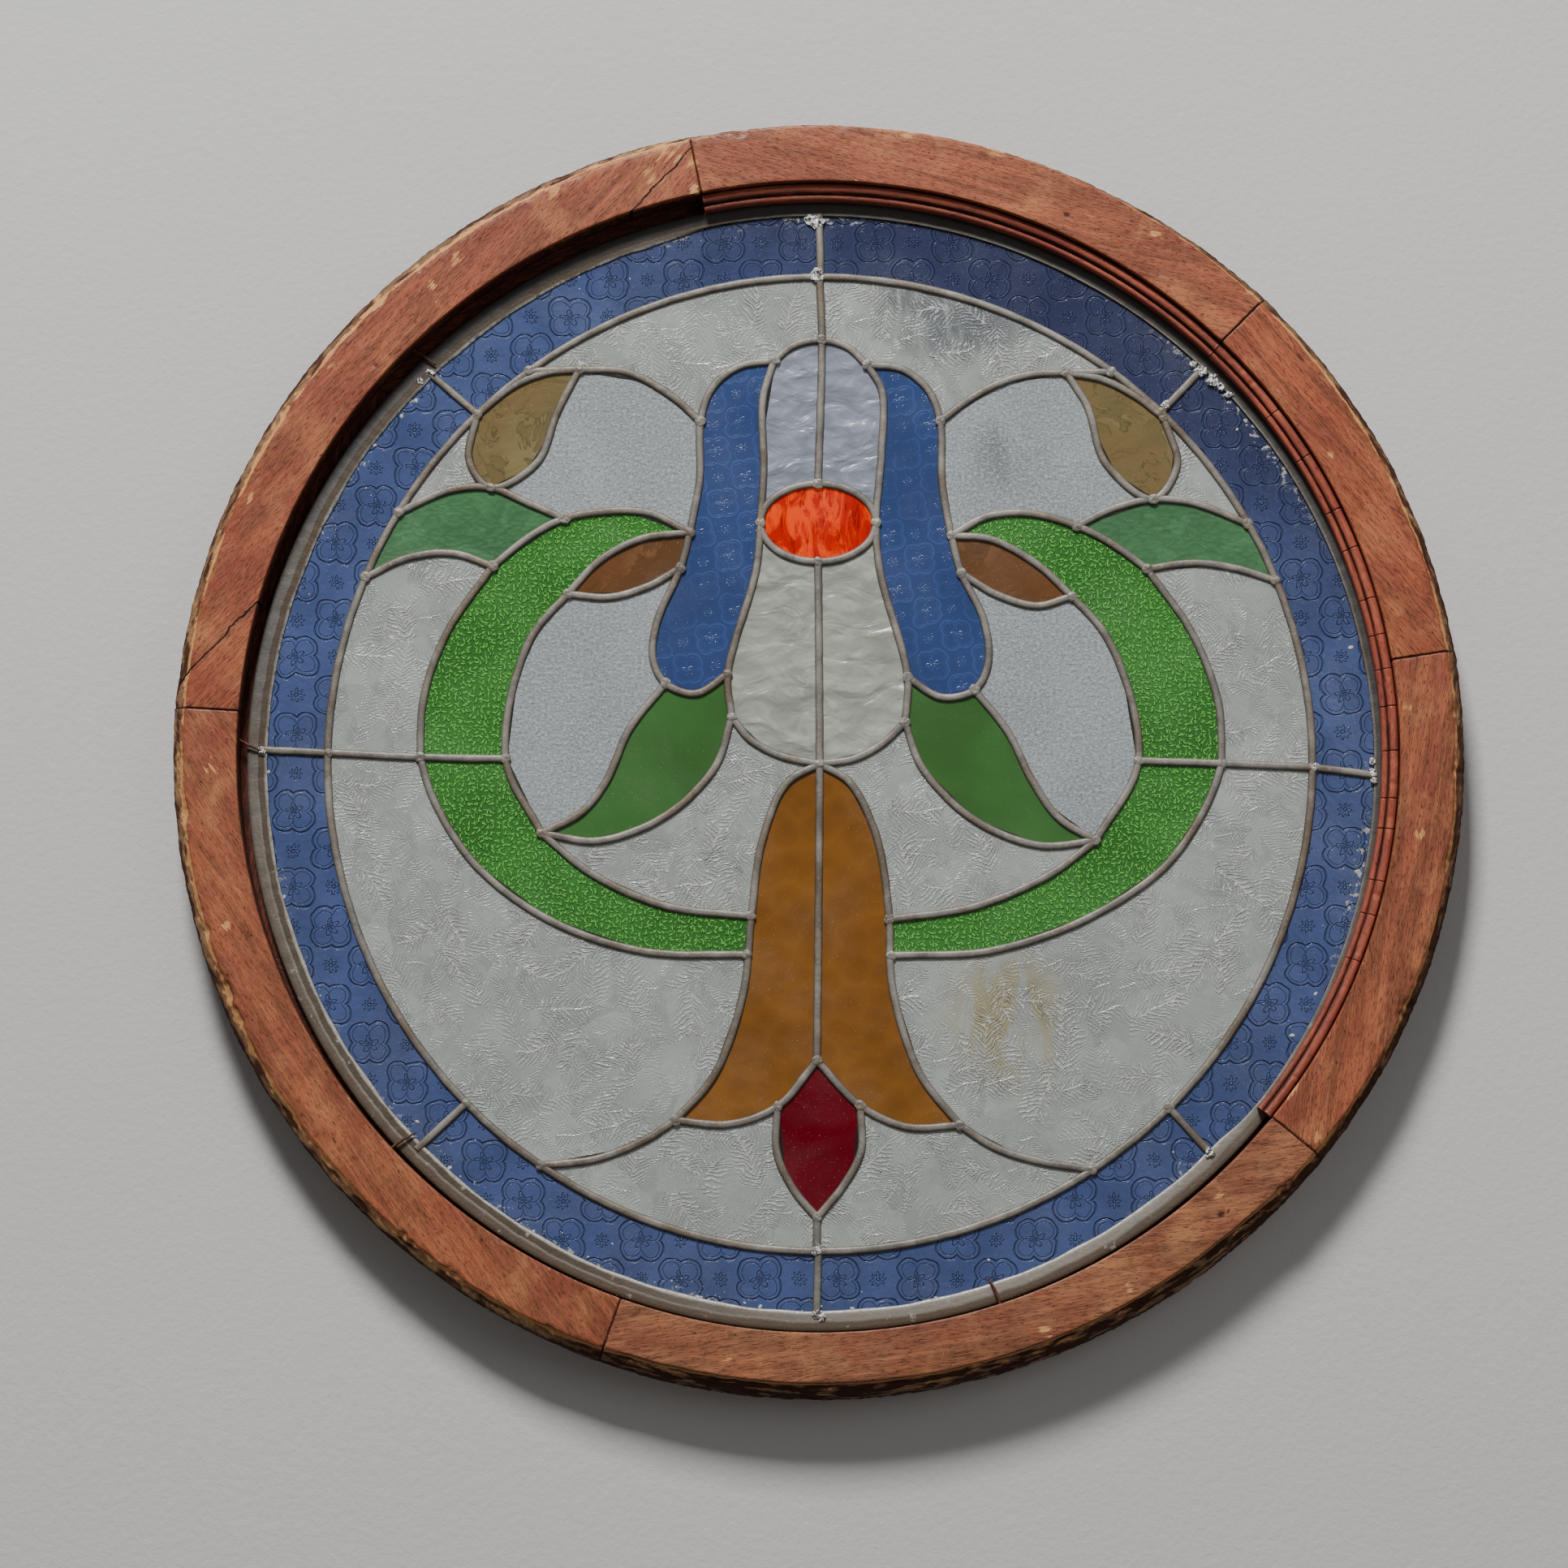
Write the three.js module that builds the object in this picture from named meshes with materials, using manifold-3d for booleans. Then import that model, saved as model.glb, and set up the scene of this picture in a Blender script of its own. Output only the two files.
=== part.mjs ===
// Round stained glass window: a leaded panel in a built-up wooden frame.
// Millimetres, +Z up. The back of the frame lies in the plane Y = 0 and the
// front faces -Y. The origin is on the back face, in the middle of the bottom rail.

import * as THREE from 'three';
import { mergeVertices } from 'three/addons/utils/BufferGeometryUtils.js';
import Module from 'manifold-3d';

const wasm = await Module();
wasm.setup();

// Leaded panel
const PANEL_RADIUS = 385;
const RIM_CAME_WIDTH = 14;
const RIM_CAME_WALL = 7.5;
const BORDER_WIDTH = 53.1;
const CAME_WIDTH = 5.5;
const CAME_HEART = 1.6;
const FLANGE_THICKNESS = 1;
const GLASS_THICKNESS = 3.2;
const CEMENT_GAP = 0.4;

// Frame: a back ring that the panel lies on and a front ring around the panel.
// The panel has sunk in its play and rests at the bottom.
const PANEL_PLAY = 5.3;
const PANEL_REST_GAP = 0.6;
const FACE_WIDTH = 40.7;
const OUTSIDE_FLARE = 4;
const WORN_ARRIS = 2;
const FRONT_RING_DEPTH = 23;
const BACK_RING_DEPTH = 20;
const LIP_WIDTH = 16;
const JOINT_GAP = 0.3;

// Glazing bead with two reeds
const BEAD_HEIGHT = 12;
const BEAD_WIDTH = 11;
const SMALL_REED_WIDTH = 4.2;
const SMALL_REED_HEIGHT = 8.5;
const QUIRK_DEPTH = 3;

// Brads that hold the panel where the bead is lost
const BRAD_DIAMETER = 1.8;
const BRAD_LENGTH = 27;
const BRAD_DRIVEN = 8;
const BRAD_HOLE_PLAY = 0.4;
const BRAD_SIDES = 6;

// Faceting of the round shapes
const RING_FACETS = 48;
const OVAL_FACETS = 16;
const CURVE_SAG = 1.6;
const CUT_OVERRUN = 1;
const SLIVER_VOLUME = 0.001;

// Places that follow from the sizes above
const faceInner = PANEL_RADIUS + PANEL_PLAY;
const faceOuter = faceInner + FACE_WIDTH;
const frameOuter = faceOuter + OUTSIDE_FLARE;
const lipInner = faceInner - LIP_WIDTH;
const mountRadius = (lipInner + frameOuter) / 2;
const channel = GLASS_THICKNESS + 2 * CEMENT_GAP;
const panelDrop = PANEL_PLAY - PANEL_REST_GAP;
const panelBack = BACK_RING_DEPTH + JOINT_GAP;
const panelDepth = channel + 2 * FLANGE_THICKNESS;
const panelFront = panelBack + panelDepth;
const glassBack = panelBack + FLANGE_THICKNESS + CEMENT_GAP;
const frontRingBack = BACK_RING_DEPTH + JOINT_GAP;
const frontRingFace = frontRingBack + FRONT_RING_DEPTH;

const borderRadius = PANEL_RADIUS - BORDER_WIDTH;

// The drawing of the leadwork inside the blue border. Its points keep the
// proportions of the field, from the middle of the panel, +x to the right and
// +y up, and are scaled so that borderFoot falls on the border came. The left and
// the right half are drawn apart because the hand-made halves differ a little.
const AT = {
  middle: [3, 0],
  borderTop: [4, 862],
  borderFoot: [-3, -862],
  borderLeft: [-858, 8],
  borderRight: [865, -20],
  ovalTop: [1, 487],
  ovalFoot: [1, 347],
  ovalLeft: [-101, 417],
  ovalRight: [103, 417],
  budTop: [8, 747],
  budFoot: [3, -13],
  rubyTop: [-2, -533],
  rubyFoot: [-2, -804],
  petalTopL: [-77, 710],
  petalTopR: [88, 702],
  shoulderL: [-207, 600],
  shoulderR: [217, 600],
  petalFootL: [-158, 147],
  petalFootR: [158, 140],
  leafTopL: [-267, 130],
  leafTopR: [275, 118],
  leafFootL: [-151, 70],
  leafFootR: [153, 60],
  leafTipL: [-483, -135],
  leafTipR: [485, -149],
  ribbonTipL: [-225, 400],
  ribbonTipR: [235, 393],
  smallLeafL: [-242, 336],
  smallLeafR: [253, 326],
  smallTipL: [-440, 290],
  smallTipR: [447, 284],
  outerTopL: [-447, 425],
  outerTopR: [457, 410],
  outerFootL: [-573, 340],
  outerFootR: [580, 333],
  dropTopL: [-423, 694],
  dropTopR: [440, 687],
  dropSideL: [-603, 613],
  dropSideR: [612, 605],
  dropFootL: [-577, 481],
  dropFootR: [592, 458],
  crossInnerL: [-547, -3],
  crossOuterL: [-697, 0],
  crossInnerR: [561, -8],
  crossOuterR: [707, -13],
  stemFootL: [-247, -636],
  stemFootR: [245, -645],
  rubySideL: [-70, -612],
  rubySideR: [73, -611],
};

const IS_JOINT = new Set(Object.values(AT));

const CAMES = {
  middle: [
    [AT.borderTop, AT.budTop, AT.ovalTop],
    [AT.ovalFoot, AT.budFoot, AT.rubyTop],
    [AT.rubyFoot, AT.borderFoot],
    [AT.crossInnerL, AT.crossOuterL, AT.borderLeft],
    [AT.crossInnerR, AT.crossOuterR, AT.borderRight],
  ],
  bud: [
    [AT.petalTopL, [-42, 737], AT.budTop, [52, 735], AT.petalTopR],
    [AT.petalTopL, [-97, 640], [-95, 520], AT.ovalLeft, [-108, 335], AT.petalFootL, AT.leafFootL],
    [AT.petalTopR, [114, 655], [113, 540], AT.ovalRight, [110, 330], AT.petalFootR, AT.leafFootR],
    [AT.leafFootL, [-118, 30], [-66, 2], AT.budFoot],
    [AT.leafFootR, [112, 22], [62, -4], AT.budFoot],
  ],
  petals: [
    [AT.petalTopL, [-140, 699], [-186, 661], AT.shoulderL, [-208, 500], AT.ribbonTipL],
    [AT.ribbonTipL, AT.smallLeafL, [-284, 235], [-289, 172], AT.leafTopL, [-213, 112], AT.petalFootL],
    [AT.petalTopR, [150, 694], [196, 656], AT.shoulderR, [220, 490], AT.ribbonTipR],
    [AT.ribbonTipR, AT.smallLeafR, [292, 243], [299, 165], AT.leafTopR, [217, 105], AT.petalFootR],
  ],
  upperField: [
    [AT.shoulderL, [-262, 649], [-340, 690], AT.dropTopL, [-512, 692]],
    [AT.shoulderR, [287, 651], [365, 682], AT.dropTopR, [520, 688]],
    [AT.dropTopL, [-462, 615], [-495, 528], AT.dropFootL, [-616, 530], AT.dropSideL],
    [AT.dropTopR, [478, 625], [508, 525], AT.dropFootR, [635, 520], AT.dropSideR],
  ],
  outerLeaves: [
    [AT.outerTopL, [-510, 453], AT.dropFootL, [-650, 477], [-740, 437]],
    [AT.outerFootL, [-640, 363], [-722, 356], [-797, 321]],
    [AT.outerTopR, [520, 441], AT.dropFootR, [665, 451], [758, 414]],
    [AT.outerFootR, [660, 344], [732, 335], [805, 312]],
  ],
  ribbons: [
    [AT.ribbonTipL, [-300, 436], [-373, 438], AT.outerTopL, [-510, 392], AT.outerFootL],
    [AT.outerFootL, [-652, 222], [-692, 105], AT.crossOuterL],
    [AT.crossOuterL, [-673, -74], [-600, -188], [-470, -286], [-305, -342], [-124, -348]],
    [AT.ribbonTipL, [-307, 390], [-382, 352], AT.smallTipL, [-508, 205], AT.crossInnerL, AT.leafTipL],
    [AT.leafTipL, [-393, -207], [-268, -262], [-117, -281]],
    [AT.ribbonTipR, [300, 428], [375, 433], AT.outerTopR, [515, 381], AT.outerFootR],
    [AT.outerFootR, [658, 218], [702, 95], AT.crossOuterR],
    [AT.crossOuterR, [681, -83], [607, -192], [475, -282], [305, -341], [127, -350]],
    [AT.ribbonTipR, [302, 388], [378, 348], AT.smallTipR, [514, 200], AT.crossInnerR, AT.leafTipR],
    [AT.leafTipR, [400, -211], [270, -265], [124, -287]],
  ],
  innerLeaves: [
    [AT.smallLeafL, [-305, 301], [-372, 284], AT.smallTipL],
    [AT.smallLeafR, [315, 288], [385, 268], AT.smallTipR],
    [AT.leafTopL, [-330, 50], [-370, -42], [-412, -97], AT.leafTipL],
    [AT.leafTopR, [333, 43], [375, -43], [420, -108], AT.leafTipR],
    [AT.leafTipL, [-385, -148], [-268, -105], [-180, -18], AT.leafFootL],
    [AT.leafTipR, [387, -157], [275, -113], [184, -22], AT.leafFootR],
  ],
  stem: [
    [AT.budFoot, [-55, -47], [-97, -148], [-115, -270], [-131, -420], [-180, -557], AT.stemFootL],
    [AT.budFoot, [55, -45], [102, -140], [123, -270], [130, -410], [176, -555], AT.stemFootR],
    [AT.rubyTop, AT.rubySideL, [-155, -643], AT.stemFootL],
    [AT.rubyTop, AT.rubySideR, [155, -648], AT.stemFootR],
    [AT.rubySideL, [-72, -690], [-42, -757], AT.rubyFoot],
    [AT.rubySideR, [74, -690], [46, -745], AT.rubyFoot],
    [AT.stemFootL, [-300, -670], [-385, -703], [-480, -714]],
    [AT.stemFootR, [305, -683], [385, -708], [473, -722]],
  ],
};

// Spare flanges where a drop has its own came beside the border came
const DOUBLED_FLANGES = [
  [AT.dropTopL, [-480, 689], [-540, 664], AT.dropSideL],
  [AT.dropTopR, [500, 676], [562, 645], AT.dropSideR],
];

// The short cames across the border, as the angle of their inner and outer end
const BORDER_SPOKES = [
  [89.8, 89.8],
  [45.5, 45.5],
  [-1.3, -2],
  [-45.5, -45.7],
  [-90.2, -90.2],
  [-135.3, -135.4],
  [179.5, 179.2],
  [134.6, 135],
];

// Each pane of the border is named by an angle at which it lies
const BORDER_PANES = {
  glass_border_top_right: 67,
  glass_border_right_upper: 22,
  glass_border_right_lower: -23,
  glass_border_bottom_right: -68,
  glass_border_bottom_left: -113,
  glass_border_left_lower: -158,
  glass_border_left_upper: 157,
  glass_border_top_left: 112,
};

// Each pane of the field is named by a point that lies in it
const FIELD_PANES = {
  glass_top_left: [-250, 760],
  glass_top_right: [250, 760],
  glass_upper_field_left: [-330, 570],
  glass_upper_field_right: [330, 570],
  glass_drop_left: [-540, 590],
  glass_drop_right: [560, 570],
  glass_corner_left: [-655, 510],
  glass_corner_right: [685, 480],
  glass_outer_leaf_left: [-640, 420],
  glass_outer_leaf_right: [650, 400],
  glass_ribbon_upper_left: [-605, 150],
  glass_ribbon_upper_right: [615, 150],
  glass_ribbon_lower_left: [-500, -200],
  glass_ribbon_lower_right: [515, -195],
  glass_small_leaf_left: [-340, 330],
  glass_small_leaf_right: [350, 320],
  glass_petal_left: [-160, 450],
  glass_petal_right: [165, 450],
  glass_bud_upper_left: [-45, 620],
  glass_bud_upper_right: [60, 620],
  glass_oval: [1, 417],
  glass_bud_lower_left: [-60, 150],
  glass_bud_lower_right: [60, 150],
  glass_inner_field_left: [-400, 100],
  glass_inner_field_right: [410, 100],
  glass_lower_leaf_left: [-280, 0],
  glass_lower_leaf_right: [290, 0],
  glass_mid_field_left: [-200, -200],
  glass_mid_field_right: [200, -200],
  glass_side_strip_left: [-770, 100],
  glass_side_strip_right: [785, 100],
  glass_lower_field_left: [-500, -450],
  glass_lower_field_right: [500, -450],
  glass_stem_left: [-60, -300],
  glass_stem_right: [60, -300],
  glass_ruby: [0, -680],
  glass_bottom_left: [-200, -760],
  glass_bottom_right: [200, -760],
};

// Front ring segments and beads between their joints, in degrees from +x
const FRONT_SEGMENTS = {
  frame_front_top: [45.3, 101.7],
  frame_front_right_upper: [8.6, 45.3],
  frame_front_right_lower: [-39.6, 8.6],
  frame_front_bottom: [-109.5, -39.6],
  frame_front_left_lower: [-183.6, -109.5],
  frame_front_left_upper: [101.7, 176.4],
};
const BEADS = {
  bead_top: [45.3, 101.7],
  bead_right: [-39.6, 45.3],
};
const BRADS = {
  brad_upper_left: { angle: 135.2, lean: 14 },
  brad_left: { angle: 178.8, lean: -28 },
  brad_lower_left: { angle: 223.5, lean: -8 },
  brad_bottom: { angle: -72.2, lean: 3 },
};

// Solids and meshes
function toSolid(geometry) {
  geometry.deleteAttribute('normal');
  geometry.deleteAttribute('uv');
  const merged = mergeVertices(geometry, 1e-4);
  const mesh = new wasm.Mesh({
    numProp: 3,
    vertProperties: merged.attributes.position.array,
    triVerts: Uint32Array.from(merged.index.array),
  });
  return new wasm.Manifold(mesh);
}

function toGeometry(solid) {
  const mesh = solid.getMesh();
  const geometry = new THREE.BufferGeometry();
  geometry.setAttribute('position', new THREE.BufferAttribute(mesh.vertProperties, 3));
  geometry.setIndex(new THREE.BufferAttribute(mesh.triVerts, 1));
  const flat = geometry.toNonIndexed();
  flat.computeVertexNormals();
  return flat;
}

function join(solids) {
  return solids.reduce((sum, solid) => sum.add(solid));
}

// Where corners meet, joining leaves slivers that hold no volume beside the body
function withoutSlivers(solid) {
  return join(solid.decompose().filter((body) => body.volume() > SLIVER_VOLUME));
}

// A flat shape from one height above the wall to another
function slab(shape, low, high) {
  const options = { depth: high - low, bevelEnabled: false, steps: 1 };
  const geometry = new THREE.ExtrudeGeometry(shape, options);
  geometry.translate(0, 0, low);
  return toSolid(geometry);
}

// A closed section, as [radius, height] corners in anticlockwise order, turned into a ring
function ring(section) {
  const corners = section.map(([radius, height]) => new THREE.Vector2(radius, height));
  corners.push(corners[0].clone());
  const geometry = new THREE.LatheGeometry(corners, RING_FACETS);
  geometry.rotateX(Math.PI / 2);
  return toSolid(geometry);
}

// The part of a ring between two joints, with half of the joint gap left at each
function sector(solid, [from, to], gap = JOINT_GAP) {
  const start = THREE.MathUtils.degToRad(from);
  const end = THREE.MathUtils.degToRad(to);
  const middle = (start + end) / 2;
  const shift = gap / 2 / Math.sin((end - start) / 2);
  const reach = 2 * frameOuter;
  const apex = new THREE.Vector2(Math.cos(middle) * shift, Math.sin(middle) * shift);
  const corners = [apex];
  for (const angle of [start, middle, end]) {
    corners.push(new THREE.Vector2(Math.cos(angle) * reach, Math.sin(angle) * reach).add(apex));
  }
  const wedge = slab(new THREE.Shape(corners), -CUT_OVERRUN, frontRingFace + CUT_OVERRUN);
  return solid.intersect(wedge);
}

// Leadwork
const panelMiddle = new THREE.Vector2(0, -panelDrop);
const drawnRadius = Math.hypot(AT.borderFoot[0] - AT.middle[0], AT.borderFoot[1] - AT.middle[1]);
const drawingScale = borderRadius / drawnRadius;

function point([x, y]) {
  return new THREE.Vector2(x, y).multiplyScalar(drawingScale).add(panelMiddle);
}

function polar(centre, radius, degrees) {
  const angle = THREE.MathUtils.degToRad(degrees);
  return new THREE.Vector2(Math.cos(angle), Math.sin(angle)).multiplyScalar(radius).add(centre);
}

// The centre line of a came: a smooth curve through its points. Each stretch
// between two joints of the drawing has as many straight steps as its bend needs.
function centreLine(points) {
  const through = points.map(point);
  if (through.length === 2) return through;
  const spatial = through.map((p) => new THREE.Vector3(p.x, p.y, 0));
  const curve = new THREE.CatmullRomCurve3(spatial, false, 'centripetal');
  const last = points.length - 1;
  const joints = points.map((p, i) => i).filter((i) => i % last === 0 || IS_JOINT.has(points[i]));
  const line = [through[0]];
  for (let j = 1; j < joints.length; j += 1) {
    const [from, to] = [joints[j - 1] / last, joints[j] / last];
    const steps = stepsFor(curve, from, to);
    for (let k = 1; k <= steps; k += 1) {
      const p = curve.getPoint(from + ((to - from) * k) / steps);
      line.push(new THREE.Vector2(p.x, p.y));
    }
  }
  return line;
}

// Straight steps that keep within the sag of a curve between two of its parameters
function stepsFor(curve, from, to) {
  const samples = 24;
  const path = [];
  for (let k = 0; k <= samples; k += 1) {
    path.push(curve.getPoint(from + ((to - from) * k) / samples));
  }
  let length = path[0].distanceTo(path[1]);
  let turn = 0;
  for (let k = 1; k < samples; k += 1) {
    const before = path[k].clone().sub(path[k - 1]);
    const after = path[k + 1].clone().sub(path[k]);
    length += after.length();
    turn += before.angleTo(after);
  }
  return Math.max(Math.round(Math.sqrt((length * turn) / (8 * CURVE_SAG))), 1);
}

// The outline of a strip of even width along a centre line
function strip(line, width) {
  const left = [];
  const right = [];
  line.forEach((p, i) => {
    const before = p.clone().sub(line[Math.max(i - 1, 0)]).normalize();
    const after = line[Math.min(i + 1, line.length - 1)].clone().sub(p).normalize();
    const along = before.clone().add(after).normalize();
    const across = new THREE.Vector2(-along.y, along.x);
    const bend = Math.max(across.dot(new THREE.Vector2(-after.y, after.x)), 0);
    const half = (width / 2) / (bend > 0 ? bend : 1);
    left.push(p.clone().addScaledVector(across, half));
    right.unshift(p.clone().addScaledVector(across, -half));
  });
  return new THREE.Shape([...right, ...left]);
}

// A strip of even width around an ellipse
function ellipseStrip(centre, radiusX, radiusY, width, facets) {
  const outline = (offset) => {
    const corners = [];
    for (let i = 0; i < facets; i += 1) {
      const corner = polar(new THREE.Vector2(), 1, (360 * i) / facets);
      corner.multiply(new THREE.Vector2(radiusX + offset, radiusY + offset));
      corners.push(corner.add(centre));
    }
    return corners;
  };
  const shape = new THREE.Shape(outline(width / 2));
  shape.holes.push(new THREE.Path(outline(-width / 2)));
  return shape;
}

// Every line of the drawing as a strip of one width
function network(lines, width, low, high) {
  const shapes = lines.map((line) => strip(line, width));
  const middle = point(AT.middle);
  shapes.push(ellipseStrip(middle, borderRadius, borderRadius, width, RING_FACETS));
  const [top, foot, left, right] = [AT.ovalTop, AT.ovalFoot, AT.ovalLeft, AT.ovalRight].map(point);
  const ovalMiddle = new THREE.Vector2((left.x + right.x) / 2, (top.y + foot.y) / 2);
  const [ovalX, ovalY] = [(right.x - left.x) / 2, (top.y - foot.y) / 2];
  shapes.push(ellipseStrip(ovalMiddle, ovalX, ovalY, width, OVAL_FACETS));
  return join(shapes.map((shape) => slab(shape, low, high)));
}

// The centre lines of all cames but the rim came, the border came and the oval
function leadLines() {
  const spokes = BORDER_SPOKES.map(([inner, outer]) => [
    polar(point(AT.middle), borderRadius - CAME_HEART, inner),
    polar(panelMiddle, PANEL_RADIUS - RIM_CAME_WALL / 2, outer),
  ]);
  return [...spokes, ...Object.values(CAMES).flat().map(centreLine)];
}

function buildLead(lines) {
  const doubled = DOUBLED_FLANGES.map((points) => strip(centreLine(points), CAME_WIDTH));
  const parts = [];
  for (const low of [panelBack, panelFront - FLANGE_THICKNESS]) {
    const high = low + FLANGE_THICKNESS;
    parts.push(network(lines, CAME_WIDTH, low, high));
    parts.push(join(doubled.map((shape) => slab(shape, low, high))));
  }
  const overlap = FLANGE_THICKNESS / 2;
  parts.push(network(lines, CAME_HEART, panelBack + overlap, panelFront - overlap));
  const flangeInner = PANEL_RADIUS - RIM_CAME_WIDTH;
  const wallInner = PANEL_RADIUS - RIM_CAME_WALL;
  parts.push(ring([
    [flangeInner, panelBack],
    [PANEL_RADIUS, panelBack],
    [PANEL_RADIUS, panelFront],
    [flangeInner, panelFront],
    [flangeInner, panelFront - FLANGE_THICKNESS],
    [wallInner, panelFront - FLANGE_THICKNESS],
    [wallInner, panelBack + FLANGE_THICKNESS],
    [flangeInner, panelBack + FLANGE_THICKNESS],
  ]).translate([0, -panelDrop, 0]));
  return withoutSlivers(join(parts));
}

// The panes are what the lead's hearts leave of one disc of glass
function buildPanes(lines) {
  const glassRadius = PANEL_RADIUS - RIM_CAME_WALL - CEMENT_GAP;
  const glassFront = glassBack + GLASS_THICKNESS;
  const disc = ring([
    [0, glassBack],
    [glassRadius, glassBack],
    [glassRadius, glassFront],
    [0, glassFront],
  ]).translate([0, -panelDrop, 0]);
  const grooveWidth = CAME_HEART + 2 * CEMENT_GAP;
  const groove = network(lines, grooveWidth, glassBack - CUT_OVERRUN, glassFront + CUT_OVERRUN);
  const pieces = disc.subtract(groove).decompose();
  const seeds = {};
  const bandMiddle = (borderRadius + glassRadius) / 2;
  for (const [name, angle] of Object.entries(BORDER_PANES)) {
    seeds[name] = polar(panelMiddle, bandMiddle, angle);
  }
  for (const [name, seed] of Object.entries(FIELD_PANES)) seeds[name] = point(seed);
  const probe = new THREE.BoxGeometry(1, 1, GLASS_THICKNESS / 2);
  const panes = {};
  for (const [name, { x, y }] of Object.entries(seeds)) {
    const mark = toSolid(probe.clone()).translate([x, y, glassBack + GLASS_THICKNESS / 2]);
    panes[name] = pieces.find((piece) => !piece.intersect(mark).isEmpty());
  }
  return panes;
}

// Frame
function buildBackRing() {
  return ring([
    [lipInner, 0],
    [frameOuter, 0],
    [frameOuter, BACK_RING_DEPTH],
    [lipInner, BACK_RING_DEPTH],
  ]);
}

function buildFrontRing() {
  return ring([
    [faceInner, frontRingBack],
    [frameOuter, frontRingBack],
    [faceOuter + WORN_ARRIS / 2, frontRingFace - WORN_ARRIS],
    [faceOuter - WORN_ARRIS, frontRingFace],
    [faceInner, frontRingFace],
  ]);
}

// A fat reed beside the wood, a quirk and a small reed beside the glass
function buildBeadRing() {
  const outer = faceInner - JOINT_GAP;
  const inner = outer - BEAD_WIDTH;
  const quirk = inner + SMALL_REED_WIDTH;
  const low = panelFront + JOINT_GAP;
  const fatReed = (outer - quirk) / 2;
  return ring([
    [inner, low],
    [outer, low],
    [outer, low + BEAD_HEIGHT - fatReed],
    [outer - fatReed / 2, low + BEAD_HEIGHT],
    [quirk + fatReed / 2, low + BEAD_HEIGHT],
    [quirk, low + SMALL_REED_HEIGHT - QUIRK_DEPTH],
    [quirk - SMALL_REED_WIDTH / 3, low + SMALL_REED_HEIGHT],
    [inner + SMALL_REED_WIDTH / 5, low + SMALL_REED_HEIGHT],
    [inner, low + SMALL_REED_HEIGHT - SMALL_REED_WIDTH / 2],
  ]);
}

// A brad driven into the side of the rebate, lying over the panel's rim
function buildBrad({ angle, lean }, play) {
  const radius = BRAD_DIAMETER / 2;
  const length = BRAD_LENGTH + play;
  const nail = new THREE.CylinderGeometry(radius + play, radius + play, length, BRAD_SIDES);
  nail.rotateZ(-Math.PI / 2);
  nail.translate(BRAD_DRIVEN - length / 2 + play, 0, 0);
  nail.rotateZ(THREE.MathUtils.degToRad(lean));
  nail.translate(faceInner, 0, panelFront + JOINT_GAP + radius);
  nail.rotateZ(THREE.MathUtils.degToRad(angle));
  return toSolid(nail);
}

// Looks
const LOOKS = {
  wood: { color: 0xa5553c, roughness: 0.55 },
  woodBack: { color: 0x6e3a2d, roughness: 0.8 },
  bead: { color: 0x7c3b2c, roughness: 0.45 },
  lead: { color: 0x7d7a73, roughness: 0.6, metalness: 0.6 },
  iron: { color: 0x4a3a30, roughness: 0.7, metalness: 0.7 },
  border: { color: 0x375591, roughness: 0.15 },
  clear: { color: 0xa5aca8, roughness: 0.4 },
  sandy: { color: 0x9ba5a5, roughness: 0.5 },
  hammered: { color: 0xa9b0b3, roughness: 0.2 },
  blue: { color: 0x415f96, roughness: 0.15 },
  ribbon: { color: 0x328c32, roughness: 0.25 },
  leaf: { color: 0x3e6e3c, roughness: 0.15 },
  stem: { color: 0x875519, roughness: 0.15 },
  brown: { color: 0x784b28, roughness: 0.15 },
  olive: { color: 0x7d6c3e, roughness: 0.15 },
  orange: { color: 0xf0460a, roughness: 0.2 },
  ruby: { color: 0x6e0f1e, roughness: 0.1 },
};

const GLASS_LOOKS = [
  ['glass_border', 'border'],
  ['glass_upper_field', 'sandy'],
  ['glass_inner_field', 'sandy'],
  ['glass_drop', 'olive'],
  ['glass_outer_leaf', 'leaf'],
  ['glass_lower_leaf', 'leaf'],
  ['glass_ribbon', 'ribbon'],
  ['glass_small_leaf', 'brown'],
  ['glass_petal', 'blue'],
  ['glass_bud', 'hammered'],
  ['glass_oval', 'orange'],
  ['glass_stem', 'stem'],
  ['glass_ruby', 'ruby'],
  ['glass', 'clear'],
];

function addMesh(group, name, solid, look) {
  const material = new THREE.MeshStandardMaterial({ metalness: 0, ...LOOKS[look] });
  const mesh = new THREE.Mesh(toGeometry(solid), material);
  mesh.name = name;
  group.add(mesh);
}

function buildWindow() {
  const window = new THREE.Group();
  const lines = leadLines();

  addMesh(window, 'frame_back_ring', buildBackRing(), 'woodBack');
  const holes = join(Object.values(BRADS).map((brad) => buildBrad(brad, BRAD_HOLE_PLAY)));
  const frontRing = buildFrontRing().subtract(holes);
  for (const [name, span] of Object.entries(FRONT_SEGMENTS)) {
    addMesh(window, name, sector(frontRing, span), 'wood');
  }
  const beadRing = buildBeadRing();
  for (const [name, span] of Object.entries(BEADS)) {
    addMesh(window, name, sector(beadRing, span), 'bead');
  }
  for (const [name, brad] of Object.entries(BRADS)) {
    addMesh(window, name, buildBrad(brad, 0), 'iron');
  }
  addMesh(window, 'lead_cames', buildLead(lines), 'lead');
  for (const [name, pane] of Object.entries(buildPanes(lines))) {
    const [, look] = GLASS_LOOKS.find(([start]) => name.startsWith(start));
    addMesh(window, name, pane, look);
  }

  // Stood up from the wall: the drawing's y is up and its height points to the front
  window.rotation.x = Math.PI / 2;
  window.position.z = mountRadius;
  return window;
}

export default buildWindow();
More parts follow.
